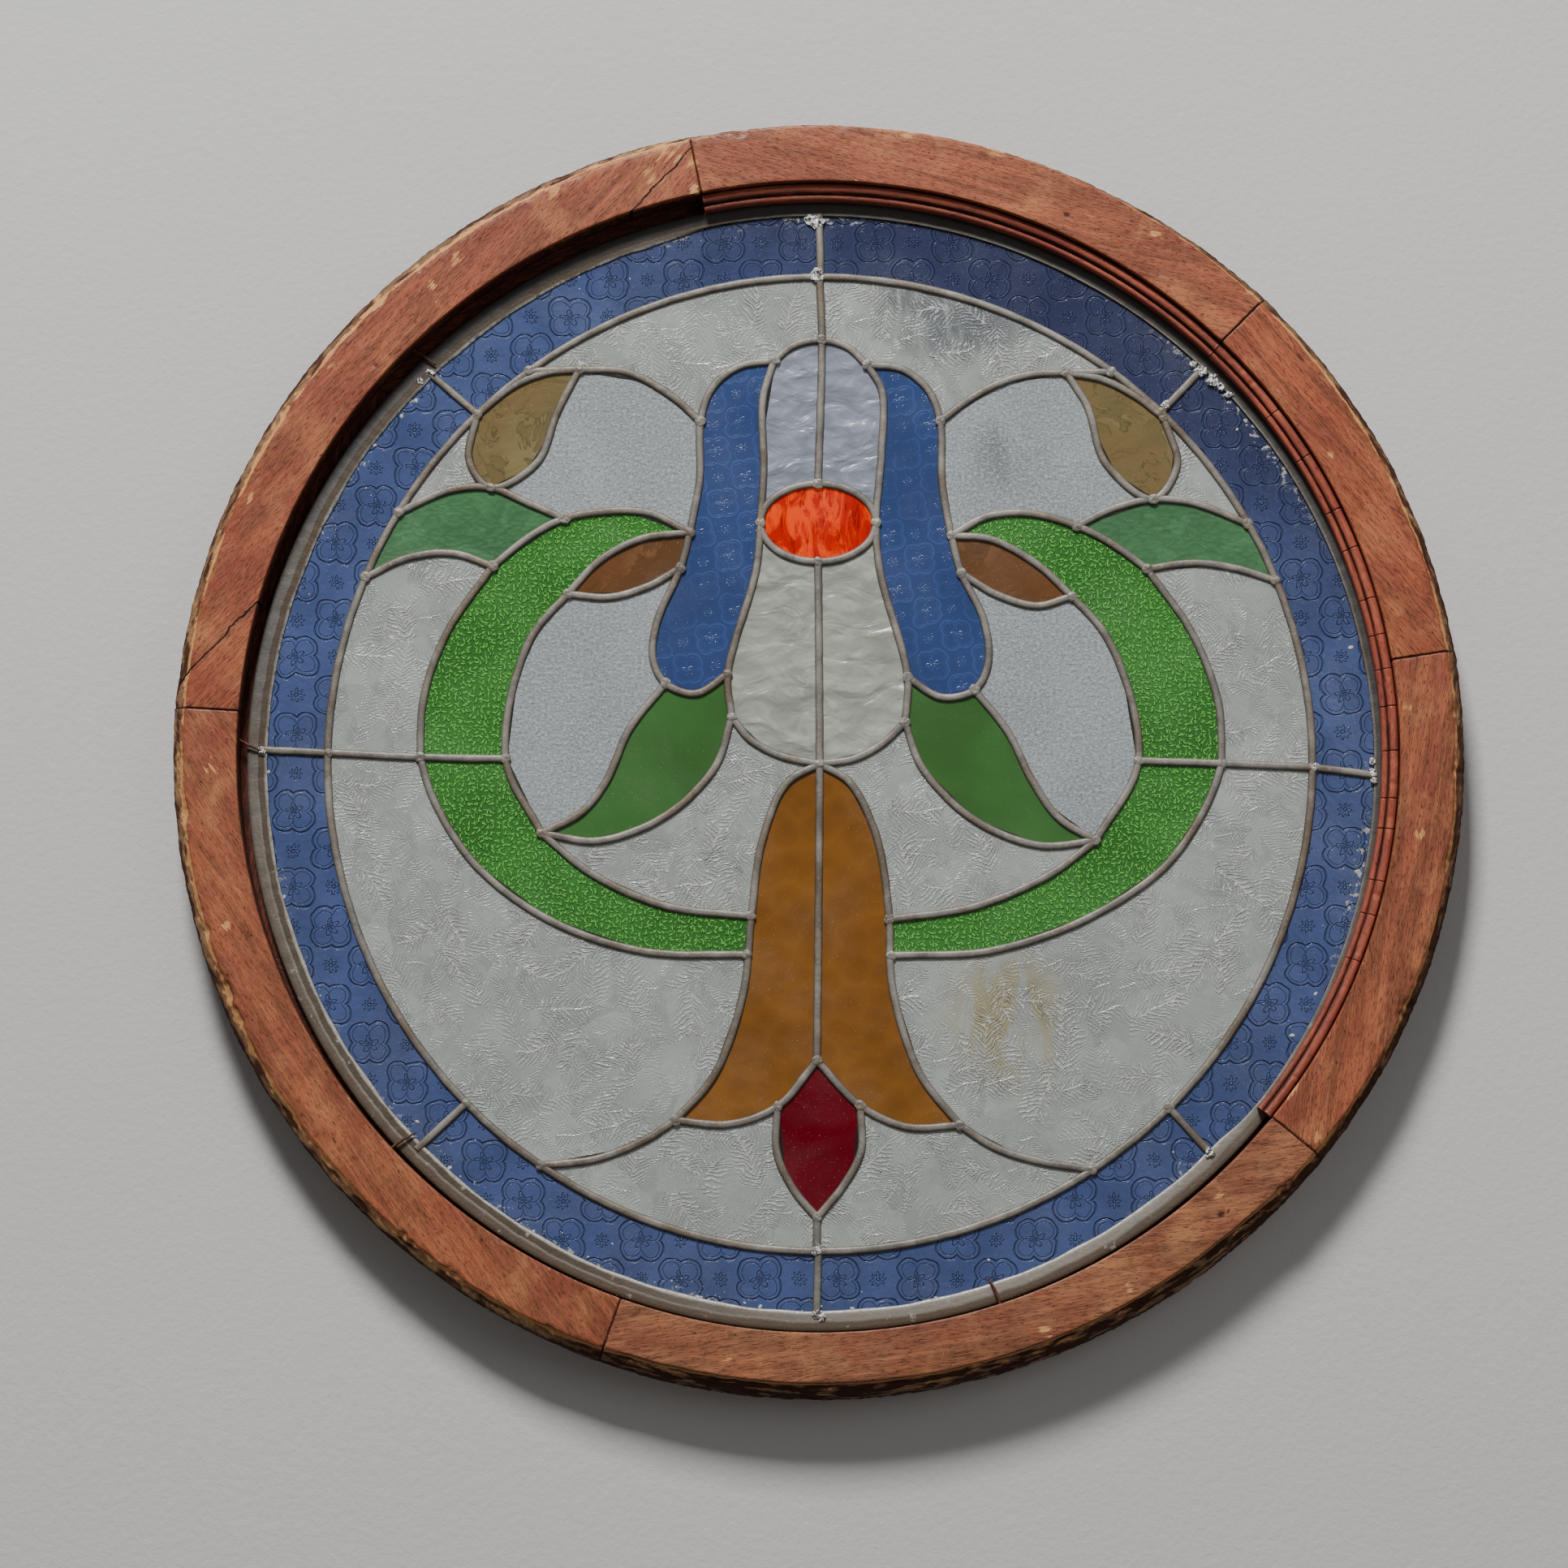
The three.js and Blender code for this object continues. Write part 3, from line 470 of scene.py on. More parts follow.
@made_once("Weathered wood")
def weathered_wood(name):
    """Old varnished wood, bare where it is worn, and black where it is grimy and where shade is painted in.
    """
    inputs = [
        ("Grain", VECTOR, None), ("Body", COLOUR, GREY), ("Bare", COLOUR, GREY), ("Dark", COLOUR, GREY),
        ("Wear", FLOAT, 0.0), ("Grime", FLOAT, 0.0),
    ]
    outputs = [("Color", COLOUR), ("Roughness", FLOAT), ("Height", FLOAT), ("Varnish", FLOAT)]
    tree, source, sink = shader_group(name, inputs, outputs)
    grain = source.outputs["Grain"]
    bands = noise_value(tree, stretched(tree, grain, (9, 95, 60)), 1.0, 5.0, 0.55, 0.9)
    streaks = noise_value(tree, stretched(tree, grain, (22, 420, 300)), 1.0, 4.0, 0.6, 0.3)
    fibres = noise_value(tree, stretched(tree, grain, (70, 1500, 900)), 1.0, 3.0, 0.6)
    pores = rise(tree, noise_value(tree, stretched(tree, grain, (190, 1900, 1300)), 1.0, 2.0), 0.58, 0.66)
    patches = noise_value(tree, grain, 26.0, 4.0, 0.6, 0.4)
    flecks = noise_value(tree, stretched(tree, grain, (170, 260, 260)), 1.0, 3.0, 0.6)
    scuffs = noise_value(tree, stretched(tree, grain, (60, 320, 200)), 1.0, 4.0, 0.65)
    body = source.outputs["Body"]
    deep = mix_colours(tree, 0.62, body, source.outputs["Dark"])
    pale = mix_colours(tree, 0.3, body, source.outputs["Bare"])
    hue = noise_value(tree, stretched(tree, grain, (11, 24, 20)), 1.0, 4.0, 0.6, 0.5)
    reddish = mix_colours(tree, 1.0, body, (0.62, 0.48, 0.60, 1.0), "MULTIPLY")
    body = mix_colours(tree, rise(tree, hue, 0.36, 0.6), reddish, body)
    tone = mix_colours(tree, rise(tree, bands, 0.34, 0.60), deep, body)
    tone = tinted(tree, tone, pale, rise(tree, patches, 0.47, 0.72), 0.75)
    tone = tinted(tree, tone, deep, rise(tree, streaks, 0.54, 0.40), 0.4)
    tone = tinted(tree, tone, pale, rise(tree, streaks, 0.56, 0.70), 0.4)
    tone = tinted(tree, tone, pale, rise(tree, fibres, 0.42, 0.66), 0.25)
    tone = tinted(tree, tone, source.outputs["Dark"], pores, 0.5)
    spots = times(tree, rise(tree, flecks, 0.34, 0.29), 0.75)
    tone = tinted(tree, tone, source.outputs["Dark"], spots)
    ragged = calc(tree, "MULTIPLY_ADD", calc(tree, "SUBTRACT", scuffs, 0.5), 1.5, source.outputs["Wear"])
    bare = calc(tree, "MAXIMUM", rise(tree, ragged, 0.46, 0.62), rise(tree, flecks, 0.71, 0.76))
    tone = tinted(tree, tone, source.outputs["Bare"], bare, 0.85)
    # The grime input holds real grime and painted shade; both darken the wood towards black.
    dirt_and_shade = calc(tree, "MULTIPLY_ADD", calc(tree, "SUBTRACT", scuffs, 0.5), 1.6, source.outputs["Grime"])
    grime_and_shade_share = rise(tree, dirt_and_shade, 0.3, 0.8)
    tone = tinted(tree, tone, source.outputs["Dark"], grime_and_shade_share, 0.9)
    gloss = calc(tree, "MULTIPLY_ADD", bare, 0.2, 0.5)
    gloss = calc(tree, "MULTIPLY_ADD", grime_and_shade_share, 0.25, gloss)
    gloss = calc(tree, "MULTIPLY_ADD", calc(tree, "SUBTRACT", patches, 0.5), 0.35, gloss, clamp=True)
    height = calc(tree, "MULTIPLY_ADD", pores, -0.9, times(tree, fibres, 0.5))
    height = calc(tree, "MULTIPLY_ADD", streaks, 0.8, height)
    height = calc(tree, "MULTIPLY_ADD", bare, -0.45, height)
    varnish = calc(tree, "SUBTRACT", 0.16, times(tree, calc(tree, "MAXIMUM", bare, grime_and_shade_share), 0.16))
    for label, socket in (("Color", tone), ("Roughness", gloss), ("Height", height), ("Varnish", varnish)):
        tree.links.new(socket, sink.inputs[label])
    return tree


@made_once("Pressed quatrefoil")
def pressed_quatrefoil(name):
    """Lines of quatrefoils around a small flower, with rosettes between them, pressed into glass."""
    inputs = [("Vector", VECTOR, None), ("Pitch", FLOAT, 34 * MM), ("Line", FLOAT, 0.022)]
    tree, source, sink = shader_group(name, inputs, [("Lines", FLOAT), ("Height", FLOAT)])
    place = wandering(tree, source.outputs["Vector"], 45.0, 7 * MM)
    share = calc(tree, "DIVIDE", 1.0, source.outputs["Pitch"])
    cell = calc_vector(tree, "FRACTION", calc_vector(tree, "SCALE", place, share))
    centred = calc_vector(tree, "MULTIPLY", calc_vector(tree, "SUBTRACT", cell, (0.5, 0.5, 0.0)), (1, 1, 0))
    folded = calc_vector(tree, "ABSOLUTE", centred)

    def petals(vector, count, radius, depth, line):
        parts = split_vector(tree, vector)
        turn = calc(tree, "ARCTAN2", parts["Y"], parts["X"])
        wave = calc(tree, "COSINE", times(tree, turn, count))
        edge = calc(tree, "MULTIPLY_ADD", wave, depth, radius)
        off = calc(tree, "SUBTRACT", calc_vector(tree, "LENGTH", vector), edge)
        return rise(tree, calc(tree, "ABSOLUTE", off), line, 0.0)

    first = calc_vector(tree, "LENGTH", calc_vector(tree, "SUBTRACT", folded, (0.215, 0, 0)))
    second = calc_vector(tree, "LENGTH", calc_vector(tree, "SUBTRACT", folded, (0, 0.215, 0)))
    outside = calc(tree, "SUBTRACT", calc(tree, "MINIMUM", first, second), 0.225)
    outline = rise(tree, calc(tree, "ABSOLUTE", outside), source.outputs["Line"], 0.0)
    inner = rise(tree, calc(tree, "ABSOLUTE", calc(tree, "ADD", outside, 0.07)), 0.014, 0.0)
    flower, heart = petals(centred, 5.0, 0.12, 0.045, 0.02), petals(centred, 5.0, 0.035, 0.01, 0.02)
    flower = calc(tree, "MAXIMUM", flower, heart)
    corner = calc_vector(tree, "SUBTRACT", folded, (0.5, 0.5, 0))
    rosette, heart = petals(corner, 8.0, 0.10, 0.03, 0.02), petals(corner, 8.0, 0.03, 0.0, 0.02)
    rosette = calc(tree, "MAXIMUM", rosette, heart)
    fine = calc(tree, "MAXIMUM", times(tree, inner, 0.6), calc(tree, "MAXIMUM", flower, rosette))
    lines = calc(tree, "MAXIMUM", outline, times(tree, fine, 0.8))
    pebbles = noise_value(tree, place, 260.0, 3.0)
    height = calc(tree, "MULTIPLY_ADD", pebbles, 0.35, times(tree, lines, -1.0))
    tree.links.new(lines, sink.inputs["Lines"])
    tree.links.new(height, sink.inputs["Height"])
    return tree


def turned_cells(tree, vector, randomness):
    """The place in each cell of a scatter, turned its own way, and three random numbers for it."""
    inputs = {"Vector": vector, "Scale": 1.0, "Randomness": randomness}
    cells = add(tree, "ShaderNodeTexVoronoi", inputs, voronoi_dimensions="2D")
    offset = calc_vector(tree, "SUBTRACT", vector, cells.outputs["Position"])
    offset = calc_vector(tree, "MULTIPLY", offset, (1, 1, 0))
    hue = add(tree, "ShaderNodeSeparateColor", {"Color": cells.outputs["Color"]}).outputs
    inputs = {"Vector": offset, "Angle": times(tree, hue[0], 2 * math.pi)}
    turned = add(tree, "ShaderNodeVectorRotate", inputs, rotation_type="Z_AXIS")
    return turned.outputs[0], hue


@made_once("Ice flowers")
def ice_flowers(name):
    """Short fern fronds that point every way and overlap, as frost on glass."""
    inputs = [("Vector", VECTOR, None), ("Fronds", FLOAT, 38.0), ("Barbs", FLOAT, 7.6)]
    outputs = [("Strokes", FLOAT), ("Height", FLOAT), ("Facets", FLOAT)]
    tree, source, sink = shader_group(name, inputs, outputs)
    place = wandering(tree, source.outputs["Vector"], 42.0, 13 * MM)
    broken = noise_value(tree, place, 170.0, 3.0, 0.65)

    def fronds(share, shift):
        scale = times(tree, source.outputs["Fronds"], share)
        scaled = calc_vector(tree, "SCALE", calc_vector(tree, "ADD", place, (shift, shift / 2, 0)), scale)
        turned, hue = turned_cells(tree, scaled, 1.0)
        parts = split_vector(tree, turned)
        aside = calc(tree, "ABSOLUTE", parts["Y"])
        along = calc(tree, "MULTIPLY_ADD", aside, 0.9, parts["X"])
        along = calc(tree, "MULTIPLY_ADD", broken, 0.25, along)
        turns = times(tree, source.outputs["Barbs"], 2 * math.pi)
        waves = calc(tree, "SINE", times(tree, along, turns))
        barbs = times(tree, waves, rise(tree, aside, 0.55, 0.12))
        spine = times(tree, rise(tree, aside, 0.045, 0.0), rise(tree, parts["X"], 0.5, 0.2))
        strength = calc(tree, "MULTIPLY_ADD", hue[1], 0.9, 0.1)
        return calc(tree, "MAXIMUM", barbs, times(tree, spine, 0.7)), strength, hue[2]

    large, strong, facet = fronds(1.0, 0.0)
    small, weak, other = fronds(1.55, 0.113)
    mingled = times(tree, large, strong)
    mingled = calc(tree, "MULTIPLY_ADD", times(tree, small, weak), 0.8, mingled)
    strokes = times(tree, rise(tree, mingled, 0.25, 1.0), rise(tree, broken, 0.36, 0.56))
    tree.links.new(strokes, sink.inputs["Strokes"])
    tree.links.new(calc(tree, "MULTIPLY_ADD", broken, 0.5, mingled), sink.inputs["Height"])
    tree.links.new(times(tree, calc(tree, "ADD", facet, other), 0.5), sink.inputs["Facets"])
    return tree


@made_once("Dimples")
def dimples(name):
    """Rounded hollows of uneven size."""
    inputs = [("Vector", VECTOR, None), ("Cells", FLOAT, 110.0), ("Unevenness", FLOAT, 6 * MM)]
    tree, source, sink = shader_group(name, inputs, [("Height", FLOAT), ("Edges", FLOAT)])
    place = wandering(tree, source.outputs["Vector"], 60.0, source.outputs["Unevenness"])
    inputs = {"Vector": place, "Scale": source.outputs["Cells"], "Smoothness": 0.35}
    cells = add(tree, "ShaderNodeTexVoronoi", inputs, voronoi_dimensions="2D", feature="SMOOTH_F1")
    tree.links.new(cells.outputs["Distance"], sink.inputs["Height"])
    tree.links.new(rise(tree, cells.outputs["Distance"], 0.35, 0.75), sink.inputs["Edges"])
    return tree


@made_once("Rice grains")
def rice_grains(name):
    """Short raised grains that lie every way and catch the light."""
    inputs = [("Vector", VECTOR, None), ("Cells", FLOAT, 260.0), ("Shift", FLOAT, 0.0)]
    tree, source, sink = shader_group(name, inputs, [("Grains", FLOAT)])
    shift = add(tree, "ShaderNodeCombineXYZ", {"X": source.outputs["Shift"], "Y": source.outputs["Shift"]})
    place = calc_vector(tree, "ADD", source.outputs["Vector"], shift.outputs[0])
    scaled = calc_vector(tree, "SCALE", place, source.outputs["Cells"])
    turned, _ = turned_cells(tree, scaled, 0.75)
    oval = calc_vector(tree, "MULTIPLY", turned, (1.0, 3.0, 0))
    grains = rise(tree, calc_vector(tree, "LENGTH", oval), 0.55, 0.28)
    tree.links.new(grains, sink.inputs["Grains"])
    return tree


@made_once("Window dirt")
def window_dirt(name):
    """Dust, dried drops and putty, thickest along the rim of the panel."""
    inputs = [
        ("Vector", VECTOR, None), ("Color", COLOUR, GREY), ("Dust", COLOUR, GREY), ("Amount", FLOAT, 1.0),
        ("Roughness", FLOAT, 0.2),
    ]
    tree, source, sink = shader_group(name, inputs, [("Color", COLOUR), ("Roughness", FLOAT)])
    vector = source.outputs["Vector"]
    middle = (0, PANEL_MIDDLE + FRAME_MIDDLE, 0)
    radius = calc_vector(tree, "LENGTH", calc_vector(tree, "SUBTRACT", vector, middle))
    rim = rise(tree, radius, PANEL_RADIUS - 26 * MM, PANEL_RADIUS - 13 * MM)
    clouds = noise_value(tree, vector, 16.0, 5.0, 0.6, 0.5)
    specks = noise_value(tree, vector, 900.0, 2.0, 0.6)
    crumbs = noise_value(tree, vector, 210.0, 4.0, 0.7)
    low = calc(tree, "MULTIPLY_ADD", clouds, -0.16, 0.76)
    dots = rise(tree, specks, low, calc(tree, "ADD", low, 0.04))
    edge = calc(tree, "MULTIPLY_ADD", rim, 0.2, times(tree, clouds, 0.14))
    smears = rise(tree, calc(tree, "ADD", crumbs, edge), 0.80, 0.86)
    smears = times(tree, smears, rise(tree, noise_value(tree, vector, 5.0, 3.0, 0.6), 0.5, 0.62))
    veil = times(tree, rise(tree, clouds, 0.4, 0.75), 0.05)
    share = calc(tree, "MAXIMUM", calc(tree, "MAXIMUM", times(tree, dots, 0.5), smears), veil)
    share = times(tree, share, source.outputs["Amount"], clamp=True)
    colour = mix_colours(tree, share, source.outputs["Color"], source.outputs["Dust"])
    rough = calc(tree, "MULTIPLY_ADD", share, 0.5, source.outputs["Roughness"], clamp=True)
    tree.links.new(colour, sink.inputs["Color"])
    tree.links.new(rough, sink.inputs["Roughness"])
    return tree


# Materials
def new_material(name, **plain):
    """A material with its shader, whose constant values are set on the shader itself."""
    material = bpy.data.materials.new(name)
    material.use_nodes = True
    tree = material.node_tree
    tree.nodes.clear()
    shader = add(tree, "ShaderNodeBsdfPrincipled")
    output = add(tree, "ShaderNodeOutputMaterial")
    tree.links.new(shader.outputs["BSDF"], output.inputs["Surface"])
    for key, value in plain.items():
        shader.inputs[key.replace("_", " ").title().replace("Ior", "IOR")].default_value = value
    return material, tree, shader


def connect(tree, shader, **sockets):
    for key, socket in sockets.items():
        tree.links.new(socket, shader.inputs[key.replace("_", " ").title()])


def bumped(tree, shader, height, distance, strength=1.0):
    bump = add(tree, "ShaderNodeBump", {"Height": height, "Distance": distance, "Strength": strength})
    tree.links.new(bump.outputs["Normal"], shader.inputs["Normal"])


def own_place(tree):
    return add(tree, "ShaderNodeTexCoord").outputs["Object"]


def window_place(tree, turn=0.0, shift=(0, 0, 0)):
    """The place on the face of the window as x and z of the object."""
    parts = split_vector(tree, own_place(tree))
    flat = add(tree, "ShaderNodeCombineXYZ", {"X": parts["X"], "Y": parts["Z"]})
    if not turn and shift == (0, 0, 0):
        return flat.outputs[0]
    return stretched(tree, flat.outputs[0], (1, 1, 1), turn, shift)


def attribute(tree, name, output="Fac"):
    return add(tree, "ShaderNodeAttribute", attribute_name=name).outputs[output]


def wood_material(name, body, bare, dark, raw, crack=None, relief=0.35 * MM):
    material, tree, shader = new_material(name, coat_roughness=0.3, specular_ior_level=0.3)
    grain = attribute(tree, "grain", "Vector")
    inputs = {
        "Grain": grain, "Body": mix_colours(tree, attribute(tree, "faded"), rgba(body), rgba(raw)),
        "Bare": rgba(bare), "Dark": rgba(dark),
        "Wear": attribute(tree, "wear"), "Grime": attribute(tree, "grime"),
    }
    wood = place_group(tree, weathered_wood(), inputs)
    colour, height = wood.outputs["Color"], wood.outputs["Height"]
    if crack:
        split = crack_line(tree, *crack)
        colour = tinted(tree, colour, rgba(dark, 0.25), split)
        height = calc(tree, "MULTIPLY_ADD", split, -3.0, height)
    connect(
        tree, shader, base_color=colour, roughness=wood.outputs["Roughness"],
        coat_weight=wood.outputs["Varnish"],
    )
    bumped(tree, shader, height, relief)
    return material


def crack_line(tree, start, end):
    """A thin wandering line between two places on the face, given in millimetres."""
    start, end = Vector(start) * MM, Vector(end) * MM
    along = (end - start).normalized()
    across = Vector((-along.y, along.x))
    flat = window_place(tree)
    wander = noise_value(tree, flat, 60.0, 4.0, 0.6)
    offset = calc_vector(tree, "SUBTRACT", flat, (start.x, start.y + FRAME_MIDDLE, 0))
    distance = calc_vector(tree, "DOT_PRODUCT", offset, (across.x, across.y, 0))
    distance = calc(tree, "MULTIPLY_ADD", calc(tree, "SUBTRACT", wander, 0.5), 8 * MM, distance)
    return rise(tree, calc(tree, "ABSOLUTE", distance), 0.8 * MM, 0.35 * MM)


def bead_material(colours):
    material, tree, shader = new_material("bead_wood", coat_roughness=0.22)
    inputs = {
        "Grain": attribute(tree, "grain", "Vector"), "Body": rgba(colours.bead), "Bare": rgba(colours.wood),
        "Dark": rgba(colours.wood_dark, 0.6), "Wear": attribute(tree, "wear"),
        "Grime": attribute(tree, "grime"),
    }
    wood = place_group(tree, weathered_wood(), inputs)
    connect(
        tree, shader, base_color=wood.outputs["Color"], roughness=wood.outputs["Roughness"],
        coat_weight=wood.outputs["Varnish"],
    )
    bumped(tree, shader, wood.outputs["Height"], 0.15 * MM)
    return material


def lead_material(name, colours, rim=False):
    """Dull lead with brown stains, darkened along the edges of its face by dirt and painted shade."""
    material, tree, shader = new_material(name, metallic=0.35)
    place = own_place(tree)
    clouds = noise_value(tree, place, 38.0, 5.0, 0.6, 0.6)
    scratches = noise_value(tree, place, 420.0, 4.0, 0.7)
    edge = calc(tree, "ABSOLUTE", attribute(tree, "across"))
    dull, clean = (0.6, 1.2) if rim else (0.72, 1.55)
    tone = clouded(tree, clouds, colours.lead, dull, clean)
    brown = times(tree, rise(tree, noise_value(tree, place, 17.0, 5.0, 0.7), 0.46, 0.64), 0.6)
    tone = tinted(tree, tone, rgba(colours.lead_stain), brown)
    rubbed = times(tree, rise(tree, scratches, 0.56, 0.7), rise(tree, edge, 0.5, 0.1))
    tone = tinted(tree, tone, rgba(colours.lead, 2.2), rubbed, 0.5)
    if rim:
        flat = window_place(tree)
        middle = (0, PANEL_MIDDLE + FRAME_MIDDLE, 0)
        offset = calc_vector(tree, "SUBTRACT", flat, middle)
        radius = calc_vector(tree, "LENGTH", offset)
        radius = calc(tree, "MULTIPLY_ADD", calc(tree, "SUBTRACT", clouds, 0.5), 4 * MM, radius)
        # The lower side, which the bead doesn't cover, is made lighter.
        downward = calc_vector(tree, "DOT_PRODUCT", offset, (-0.2, -0.98, 0))
        open_side = rise(tree, downward, -0.02, 0.3)
        tone = tinted(tree, tone, rgba(colours.lead, 2.0), open_side, 0.7)
        # Painted shade and dirt: under the bead, towards the top and upper right, the rim came is darkened
        # nearly to black.
        upward = calc_vector(tree, "DOT_PRODUCT", offset, (0.45, 0.89, 0))
        deep = rise(tree, radius, PANEL_RADIUS - 9.6 * MM, PANEL_RADIUS - 8 * MM)
        bead_shade_and_dirt = times(tree, times(tree, rise(tree, upward, -0.06, 0.26), 0.9), deep)
        tone = tinted(tree, tone, rgba(colours.lead_stain, 0.26), bead_shade_and_dirt)
        left = rise(tree, split_vector(tree, offset)["X"], 0.1, -0.2)
        # Painted shade: the outer part near the wood is darkened towards black except on the lower side.
        shady = times(tree, times(tree, calc(tree, "SUBTRACT", 1.0, open_side), 0.5), deep)
        tone = tinted(tree, tone, rgba((0.085, 0.085, 0.088)), shady)
        stripe = times(tree, rise(tree, radius, PANEL_RADIUS - 7 * MM, PANEL_RADIUS - 8 * MM), left)
        stripe = times(tree, stripe, rise(tree, radius, PANEL_RADIUS - 12 * MM, PANEL_RADIUS - 11.4 * MM))
        tone = tinted(tree, tone, rgba(colours.lead_stain, 0.5), stripe, 0.85)
        crumbs = noise_value(tree, place, 300.0, 4.0, 0.7)
        line = rise(tree, radius, PANEL_RADIUS - 12.2 * MM, PANEL_RADIUS - 13 * MM)
        line = times(tree, line, rise(tree, crumbs, 0.38, 0.54))
        tone = tinted(tree, tone, rgba(colours.putty, 0.75), line, 0.8)
        beside = times(tree, rise(tree, radius, PANEL_RADIUS - 8 * MM, PANEL_RADIUS - 5 * MM), open_side)
        tone = tinted(tree, tone, rgba(colours.lead_stain, 0.7), beside, 0.85)
        chalk = times(tree, rise(tree, noise_value(tree, place, 120.0, 5.0, 0.7), 0.6, 0.7), open_side)
        tone = tinted(tree, tone, rgba(colours.putty), chalk, 0.6)
    # Dirt and painted shade: the edges of the face, where the came meets the glass, are darkened.
    dirt_and_shade = rise(tree, edge, 0.7, 1.0)
    tone = tinted(tree, tone, rgba(colours.lead_stain, 0.4), dirt_and_shade, 0.6)
    connect(tree, shader, base_color=tone, roughness=calc(tree, "MULTIPLY_ADD", scratches, 0.4, 0.32))
    bumped(tree, shader, calc(tree, "ADD", scratches, times(tree, clouds, 2.0)), 0.25 * MM)
    return material


def solder_material(colours):
    material, tree, shader = new_material("fresh_solder", metallic=0.5)
    place = own_place(tree)
    crumbs = noise_value(tree, place, 520.0, 5.0, 0.75)
    pits = rise(tree, crumbs, 0.44, 0.52)
    tone = mix_colours(tree, pits, rgba(colours.lead, 0.25), rgba(colours.solder))
    connect(tree, shader, base_color=tone, roughness=calc(tree, "MULTIPLY_ADD", pits, 0.15, 0.25))
    bumped(tree, shader, crumbs, 0.6 * MM)
    return material


def rust_material(colours):
    material, tree, shader = new_material("rusted_iron", metallic=0.3)
    place = own_place(tree)
    flakes = noise_value(tree, place, 380.0, 5.0, 0.7)
    scaly = rise(tree, flakes, 0.4, 0.62)
    tone = mix_colours(tree, scaly, rgba(colours.rust, 0.45), rgba(colours.rust, 1.5))
    connect(tree, shader, base_color=tone, roughness=calc(tree, "MULTIPLY_ADD", flakes, 0.4, 0.5))
    bumped(tree, shader, flakes, 0.3 * MM)
    return material


def putty_material(colours):
    material, tree, shader = new_material("dried_putty")
    place = own_place(tree)
    crumbs = noise_value(tree, place, 700.0, 4.0, 0.7)
    tone = mix_colours(tree, rise(tree, crumbs, 0.3, 0.6), rgba(colours.putty, 0.55), rgba(colours.putty))
    connect(tree, shader, base_color=tone, roughness=calc(tree, "MULTIPLY_ADD", crumbs, 0.2, 0.7))
    bumped(tree, shader, crumbs, 0.3 * MM)
    return material


def glass_material(colours, name, colour, pattern, transmission, roughness, **plain):
    """Tinted glass that lets part of the light through, with its own pressed pattern."""
    material, tree, shader = new_material(name, transmission_weight=transmission, ior=1.5, **plain)
    tone, height, depth = pattern(tree, colour)
    inputs = {
        "Vector": window_place(tree), "Color": tone, "Dust": rgba(colours.putty),
        "Roughness": roughness,
    }
    soiled = place_group(tree, window_dirt(), inputs)
    connect(tree, shader, base_color=soiled.outputs["Color"], roughness=soiled.outputs["Roughness"])
    # A painted glow: given an emission strength, the pane lights itself in its own tone.
    if "emission_strength" in plain:
        connect(tree, shader, emission_color=tone)
    bumped(tree, shader, height, depth)
    return material


def smudged(tree, flat, tone):
    """The stains of SMUDGES over the tone of a clear glass."""
    streaks = noise_value(tree, stretched(tree, flat, (60, 15, 1), 0.35), 1.0, 4.0, 0.65, 0.6)
    for x, y, reach_x, reach_y, tint in SMUDGES:
        offset = calc_vector(tree, "SUBTRACT", flat, (x * MM, y * MM + FRAME_MIDDLE, 0))
        offset = calc_vector(tree, "MULTIPLY", offset, (1 / (reach_x * MM), 1 / (reach_y * MM), 0))
        near = rise(tree, calc_vector(tree, "LENGTH", offset), 1.15, 0.3)
        share = times(tree, near, rise(tree, streaks, 0.38, 0.56))
        tone = tinted(tree, tone, (*tint, 1.0), share, 0.75)
    return tone


def quatrefoil_pattern(pitch):
    def pattern(tree, colour):
        flat = window_place(tree, math.radians(45), (0.007, 0.011, 0))
        figure = place_group(tree, pressed_quatrefoil(), {"Vector": flat, "Pitch": pitch, "Line": 0.028})
        lines = figure.outputs["Lines"]
        # Painted highlight: the figure laid again a little to the side, lighter, beside each pressed line.
        beside = calc_vector(tree, "ADD", flat, (0.9 * MM, 0, 0))
        painted_line_highlight = place_group(tree, pressed_quatrefoil(), {"Vector": beside, "Pitch": pitch, "Line": 0.028})
        # Painted shade: the border is darkened towards the top and the upper right.
        parts = split_vector(tree, own_place(tree))
        shade = calc(tree, "ADD", times(tree, parts["X"], 0.5), parts["Z"])
        shaded = rise(tree, shade, FRAME_MIDDLE + 0.2, FRAME_MIDDLE + 0.4)
        clouds = noise_value(tree, flat, 22.0, 3.0)
        # Painted highlights: scattered pale sparkles over the glass.
        light = rise(tree, noise_value(tree, flat, 300.0, 3.0, 0.6), 0.62, 0.8)
        tone = clouded(tree, clouds, colour, 0.8, 1.12)
        painted_shade_tone = (0.36 * colour[0], 0.24 * colour[1], 0.24 * colour[2], 1.0)
        tone = tinted(tree, tone, painted_shade_tone, shaded, 0.8)
        tone = tinted(tree, tone, rgba(colour, 2.2), light, 0.3)
        tone = tinted(tree, tone, rgba(colour, 2.1), painted_line_highlight.outputs["Lines"], 0.34)
        tone = tinted(tree, tone, rgba(colour, 0.3), lines, 0.48)
        return tone, figure.outputs["Height"], 1.2 * MM
    return pattern


